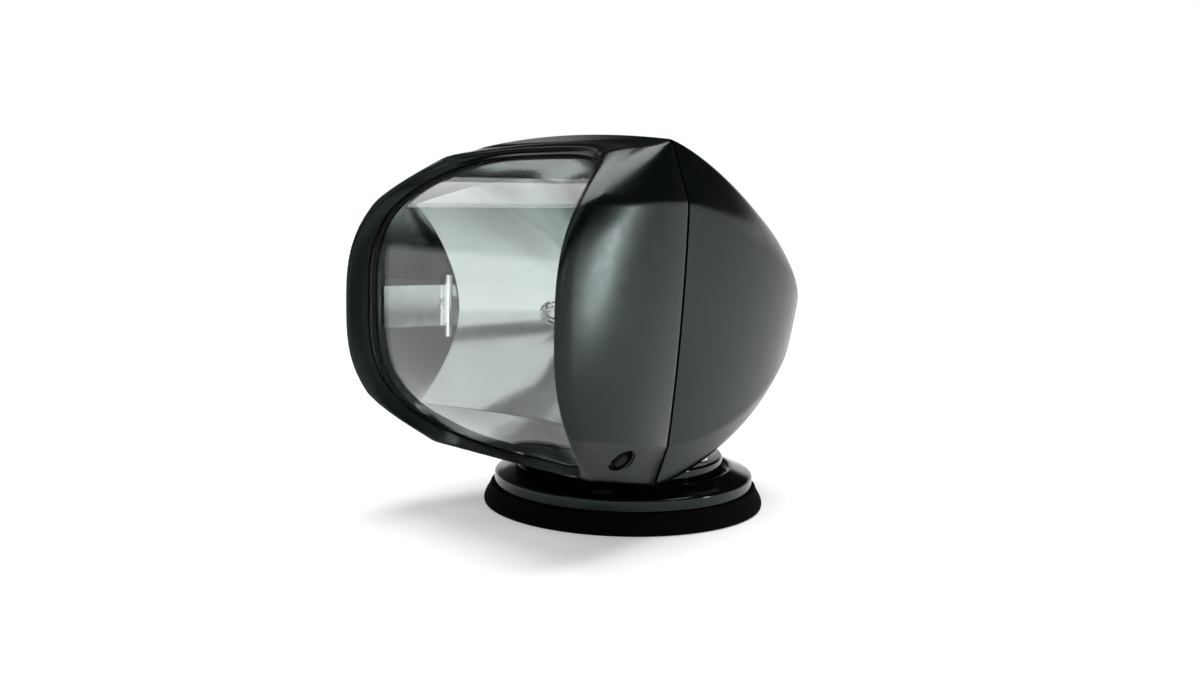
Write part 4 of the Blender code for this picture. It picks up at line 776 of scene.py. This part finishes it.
def make_reflector():
    """Reflector trough: ridged front skin, plain wall behind it, hole for the bulb."""
    columns, rows = 113, 97
    bm = bmesh.new()
    sheets = []
    for wall in (0.0, REFLECTOR_WALL):
        grid = []
        for i in range(columns):
            x = REFLECTOR_HALF_WIDTH * (2 * i / (columns - 1) - 1)
            low, high = -reflector_bottom(x), reflector_top(x)
            column = []
            for j in range(rows):
                z = low + (high - low) * j / (rows - 1)
                y = reflector_y(x, z) + wall - crease(x, z)
                column.append(bm.verts.new((x, y, z + AXIS_HEIGHT)))
            grid.append(column)
        sheets.append(grid)
    front, back = sheets
    for grid in sheets:
        for i in range(columns - 1):
            for j in range(rows - 1):
                bm.faces.new((grid[i][j], grid[i + 1][j], grid[i + 1][j + 1], grid[i][j + 1]))
    border = [(i, 0) for i in range(columns)] + [(columns - 1, j) for j in range(1, rows)]
    border += [(i, rows - 1) for i in range(columns - 2, -1, -1)] + [(0, j) for j in range(rows - 2, 0, -1)]
    for (i, j), (k, m) in zip(border, border[1:] + border[:1]):
        bm.faces.new((front[i][j], front[k][m], back[k][m], back[i][j]))
    mesh = mesh_from(bm, "reflector")
    turn = Matrix.Rotation(-pi / 2, 4, "X")
    turn.translation = (0, REFLECTOR_APEX - BULB_HOLE_RADIUS, AXIS_HEIGHT)
    return cut(mesh, [("DIFFERENCE", cylinder_mesh(BULB_HOLE_RADIUS, 0.0, 2 * BULB_HOLE_RADIUS), turn)])


def bezel_ring(outline, depth, behind=False):
    """Ring of the trim between the lens seal (0) and the reflector's edge (1)."""
    corner_middle = CORNER_POINTS + SIDE_POINTS[0] // 2
    lower_middle = 3 * CORNER_POINTS + sum(SIDE_POINTS[:2]) + SIDE_POINTS[2] // 2
    ring = []
    for x, z in outline:
        open_x, open_z = opening_point(x, z, REBATE_STEP - LIP_TAPER - SEAL_WIDTH - 2 * SEAT_GAP)
        start = lens_face(open_z) + LENS_STACK + 2 * SEAT_GAP
        corner_x, corner_z = outline[corner_middle if z > 0 else lower_middle]
        across, upward = x / corner_x, z / abs(corner_z)
        larger = max(abs(across), abs(upward))
        end_x = across / larger * (REFLECTOR_HALF_WIDTH + BEZEL_MARGIN)
        inside_x = max(-REFLECTOR_HALF_WIDTH, min(REFLECTOR_HALF_WIDTH, end_x))
        limit = (reflector_top(inside_x) if z > 0 else reflector_bottom(inside_x)) + BEZEL_MARGIN
        end_z = upward / larger * limit
        end = reflector_y(end_x, end_z) + POCKET_DEPTH * (1 - (upward / larger) ** 2)
        steep = max(0.0, min(1.0, (end - start) / POCKET_DEPTH))
        setback = (BEZEL_WALL + (BEZEL_STEEP_WALL - BEZEL_WALL) * steep) if behind else 0.0
        y = start + (end - start) * depth ** BEZEL_CURVE + setback
        ring.append((open_x + (end_x - open_x) * depth, y, open_z + (end_z - open_z) * depth))
    return placed(ring)


def make_inner_bezel():
    """Trim between the lens and the reflector's edges."""
    outline = front_section(1.0)
    depths = [0.0, 0.01, 0.03, 0.06] + [0.1 + 0.09 * i for i in range(11)]
    rings = [bezel_ring(outline, depth) for depth in depths]
    rings += [bezel_ring(outline, depth, True) for depth in (1.0, 0.7, 0.35, 0.0)]
    mesh = ring_mesh("inner_bezel", rings, around_again=True)
    mesh.set_sharp_from_angle(angle=TRIM_SHARP_ANGLE)
    return mesh


def head_piece(node, finish, mesh, material):
    """Piece on the head that stands for one CAD node, named by the node and how it is made."""
    new_piece(f"{node}_{finish}", mesh, material, "head", slot_of(node), node)


head_piece("front_housing", "moulded", make_front_housing(), gloss_black)
head_piece("rear_housing", "moulded", make_rear_housing(), gloss_black)
head_piece("housing_seal", "moulded", make_housing_seal(), dark_seal)
head_piece("lens", "moulded", make_lens(), lens_clear)
head_piece("lens_seal", "moulded", make_lens_seal(), dark_seal)
head_piece("reflector", "plated", make_reflector(), mirror)
head_piece("inner_bezel", "moulded", make_inner_bezel(), trim)


# Base pieces

def hole(reach, bearing, radius, top):
    """Cutter of an upright hole at a bearing round the pan axis."""
    place = Matrix.Translation((reach * cos(bearing), reach * sin(bearing), 0))
    return "DIFFERENCE", cylinder_mesh(radius, 0.0, top, steps=HOLE_POINTS), place


def make_flange():
    """Flange with its deck screw holes."""
    turns = [pi / 4 + 2 * pi * i / DECK_HOLE_COUNT for i in range(DECK_HOLE_COUNT)]
    return cut(turned("base_flange", FLANGE_PROFILE, FLANGE_FILLET),
               [hole(DECK_HOLE_PLACE, turn, DECK_HOLE_RADIUS, DECK_HOLE_TOP) for turn in turns])


def make_turntable():
    """Turntable with the passage of the pan pinion's shaft."""
    return cut(turned("turntable", TABLE_PROFILE, TABLE_FILLET),
               [hole(PINION_PLACE, PINION_BEARING, PINION_PASSAGE_RADIUS, PINION_PASSAGE_TOP)])


new_piece("mounting_gasket_moulded", turned("mounting_gasket", GASKET_PROFILE, GASKET_FILLET), rubber, "base",
          slot_of("mounting_gasket"), "mounting_gasket")
new_piece("base_flange_moulded", make_flange(), base_gloss, "base", slot_of("base_flange"), "base_flange")
new_piece("turntable_moulded", make_turntable(), base_gloss, "turntable", slot_of("turntable"),
          "turntable")


# Stage and light

def softbox(name, azimuth, elevation, distance, size, brightness):
    """Area light seen from the head in a direction, with the brightness of its face."""
    lamp = bpy.data.lights.new(name, "AREA")
    lamp.shape = "RECTANGLE"
    lamp.size, lamp.size_y = size
    lamp.energy = brightness * pi * size[0] * size[1]
    holder = bpy.data.objects.new(name, lamp)
    turn, rise = radians(azimuth), radians(elevation)
    away = Vector((cos(turn) * cos(rise), sin(turn) * cos(rise), sin(rise)))
    holder.location = Vector((0, SOFTBOX_AIM_Y, AXIS_HEIGHT)) + away * distance
    holder.rotation_euler = away.to_track_quat("Z", "Y").to_euler()
    bpy.context.scene.collection.objects.link(holder)


def sky_light():
    """Soft overhead light, even over the whole floor."""
    lamp = bpy.data.lights.new("overhead", "SUN")
    lamp.energy = OVERHEAD_STRENGTH
    lamp.angle = OVERHEAD_ANGLE
    holder = bpy.data.objects.new("overhead", lamp)
    holder.rotation_euler = Vector(OVERHEAD_DIRECTION).to_track_quat("Z", "Y").to_euler()
    bpy.context.scene.collection.objects.link(holder)


def make_floor():
    """Pale floor that meets the white backdrop without a line and keeps the object's shadow."""
    mesh = bpy.data.meshes.new("floor")
    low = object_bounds()[0][2] - FLOOR_DROP
    corners = [(x * FLOOR_REACH, y * FLOOR_REACH, low) for x, y in ((-1, -1), (1, -1), (1, 1), (-1, 1))]
    mesh.from_pydata(corners, [], [(0, 1, 2, 3)])
    floor = bpy.data.objects.new("floor", mesh)
    bpy.context.scene.collection.objects.link(floor)
    graph = Graph("floor_white")
    graph.join(graph.ramp(graph.noise(3.0), (0.3, (0.93, 0.93, 0.93)), (0.7, (0.96, 0.96, 0.96))),
               graph.shader.inputs["Base Color"])
    graph.shader.inputs["Roughness"].default_value = 0.9
    graph.shader.inputs["Specular IOR Level"].default_value = 0.0
    rays = graph.add("ShaderNodeLightPath").outputs
    seen = graph.maths("MAXIMUM", rays["Is Camera Ray"], rays["Is Glossy Ray"])
    seen = graph.maths("MAXIMUM", seen, rays["Is Transmission Ray"])
    graph.shader.inputs["Emission Color"].default_value = (1.0, 1.0, 1.0, 1.0)
    graph.join(graph.maths("MULTIPLY", seen, FLOOR_GLOW), graph.shader.inputs["Emission Strength"])
    mesh.materials.append(graph.material)


def make_world():
    """White round the horizon, where the backdrop is, and a dim studio above it."""
    world = bpy.data.worlds.new("studio")
    bpy.context.scene.world = world
    world.use_nodes = True
    tree = world.node_tree
    coords = tree.nodes.new("ShaderNodeTexCoord").outputs["Generated"]
    parts = tree.nodes.new("ShaderNodeSeparateXYZ")
    tree.links.new(coords, parts.inputs["Vector"])
    shade = tree.nodes.new("ShaderNodeValToRGB")
    tree.links.new(parts.outputs["Z"], shade.inputs["Fac"])
    ends = shade.color_ramp.elements
    ends[0].position, ends[0].color = HORIZON_TOP, (1, 1, 1, 1)
    ends[1].position, ends[1].color = CEILING_FOOT, (*CEILING, 1)
    tree.links.new(shade.outputs["Color"], tree.nodes["Background"].inputs["Color"])


def make_camera():
    """Camera at the photograph's place."""
    data = bpy.data.cameras.new("photo_camera")
    data.sensor_width = SENSOR_WIDTH
    data.lens = CAMERA_FOCAL_PIXELS / IMAGE_WIDTH * SENSOR_WIDTH
    camera = bpy.data.objects.new("photo_camera", data)
    right, up = Vector(CAMERA_RIGHT).normalized(), Vector(CAMERA_UP).normalized()
    back = right.cross(up)
    place = Matrix((right, up, back)).transposed().to_4x4()
    place.translation = Vector(CAMERA_PLACE)
    camera.matrix_world = place
    bpy.context.scene.collection.objects.link(camera)
    bpy.context.scene.camera = camera


make_floor()
make_world()
sky_light()
# Softboxes: bearing and height in degrees, distance and size in metres, brightness of the face
softbox("front_box", -65, 47, 2.0, (2.6, 1.5), 0.8)
softbox("cheek_strip", 31, 2, 1.0, (0.10, 0.24), 30.0)
softbox("left_box", 178, 42, 1.5, (0.5, 0.35), 2.0)
softbox("rim_strip", 0, 8, 1.0, (0.05, 0.20), 4.0)
make_camera()
bpy.context.scene.view_settings.view_transform = "Standard"
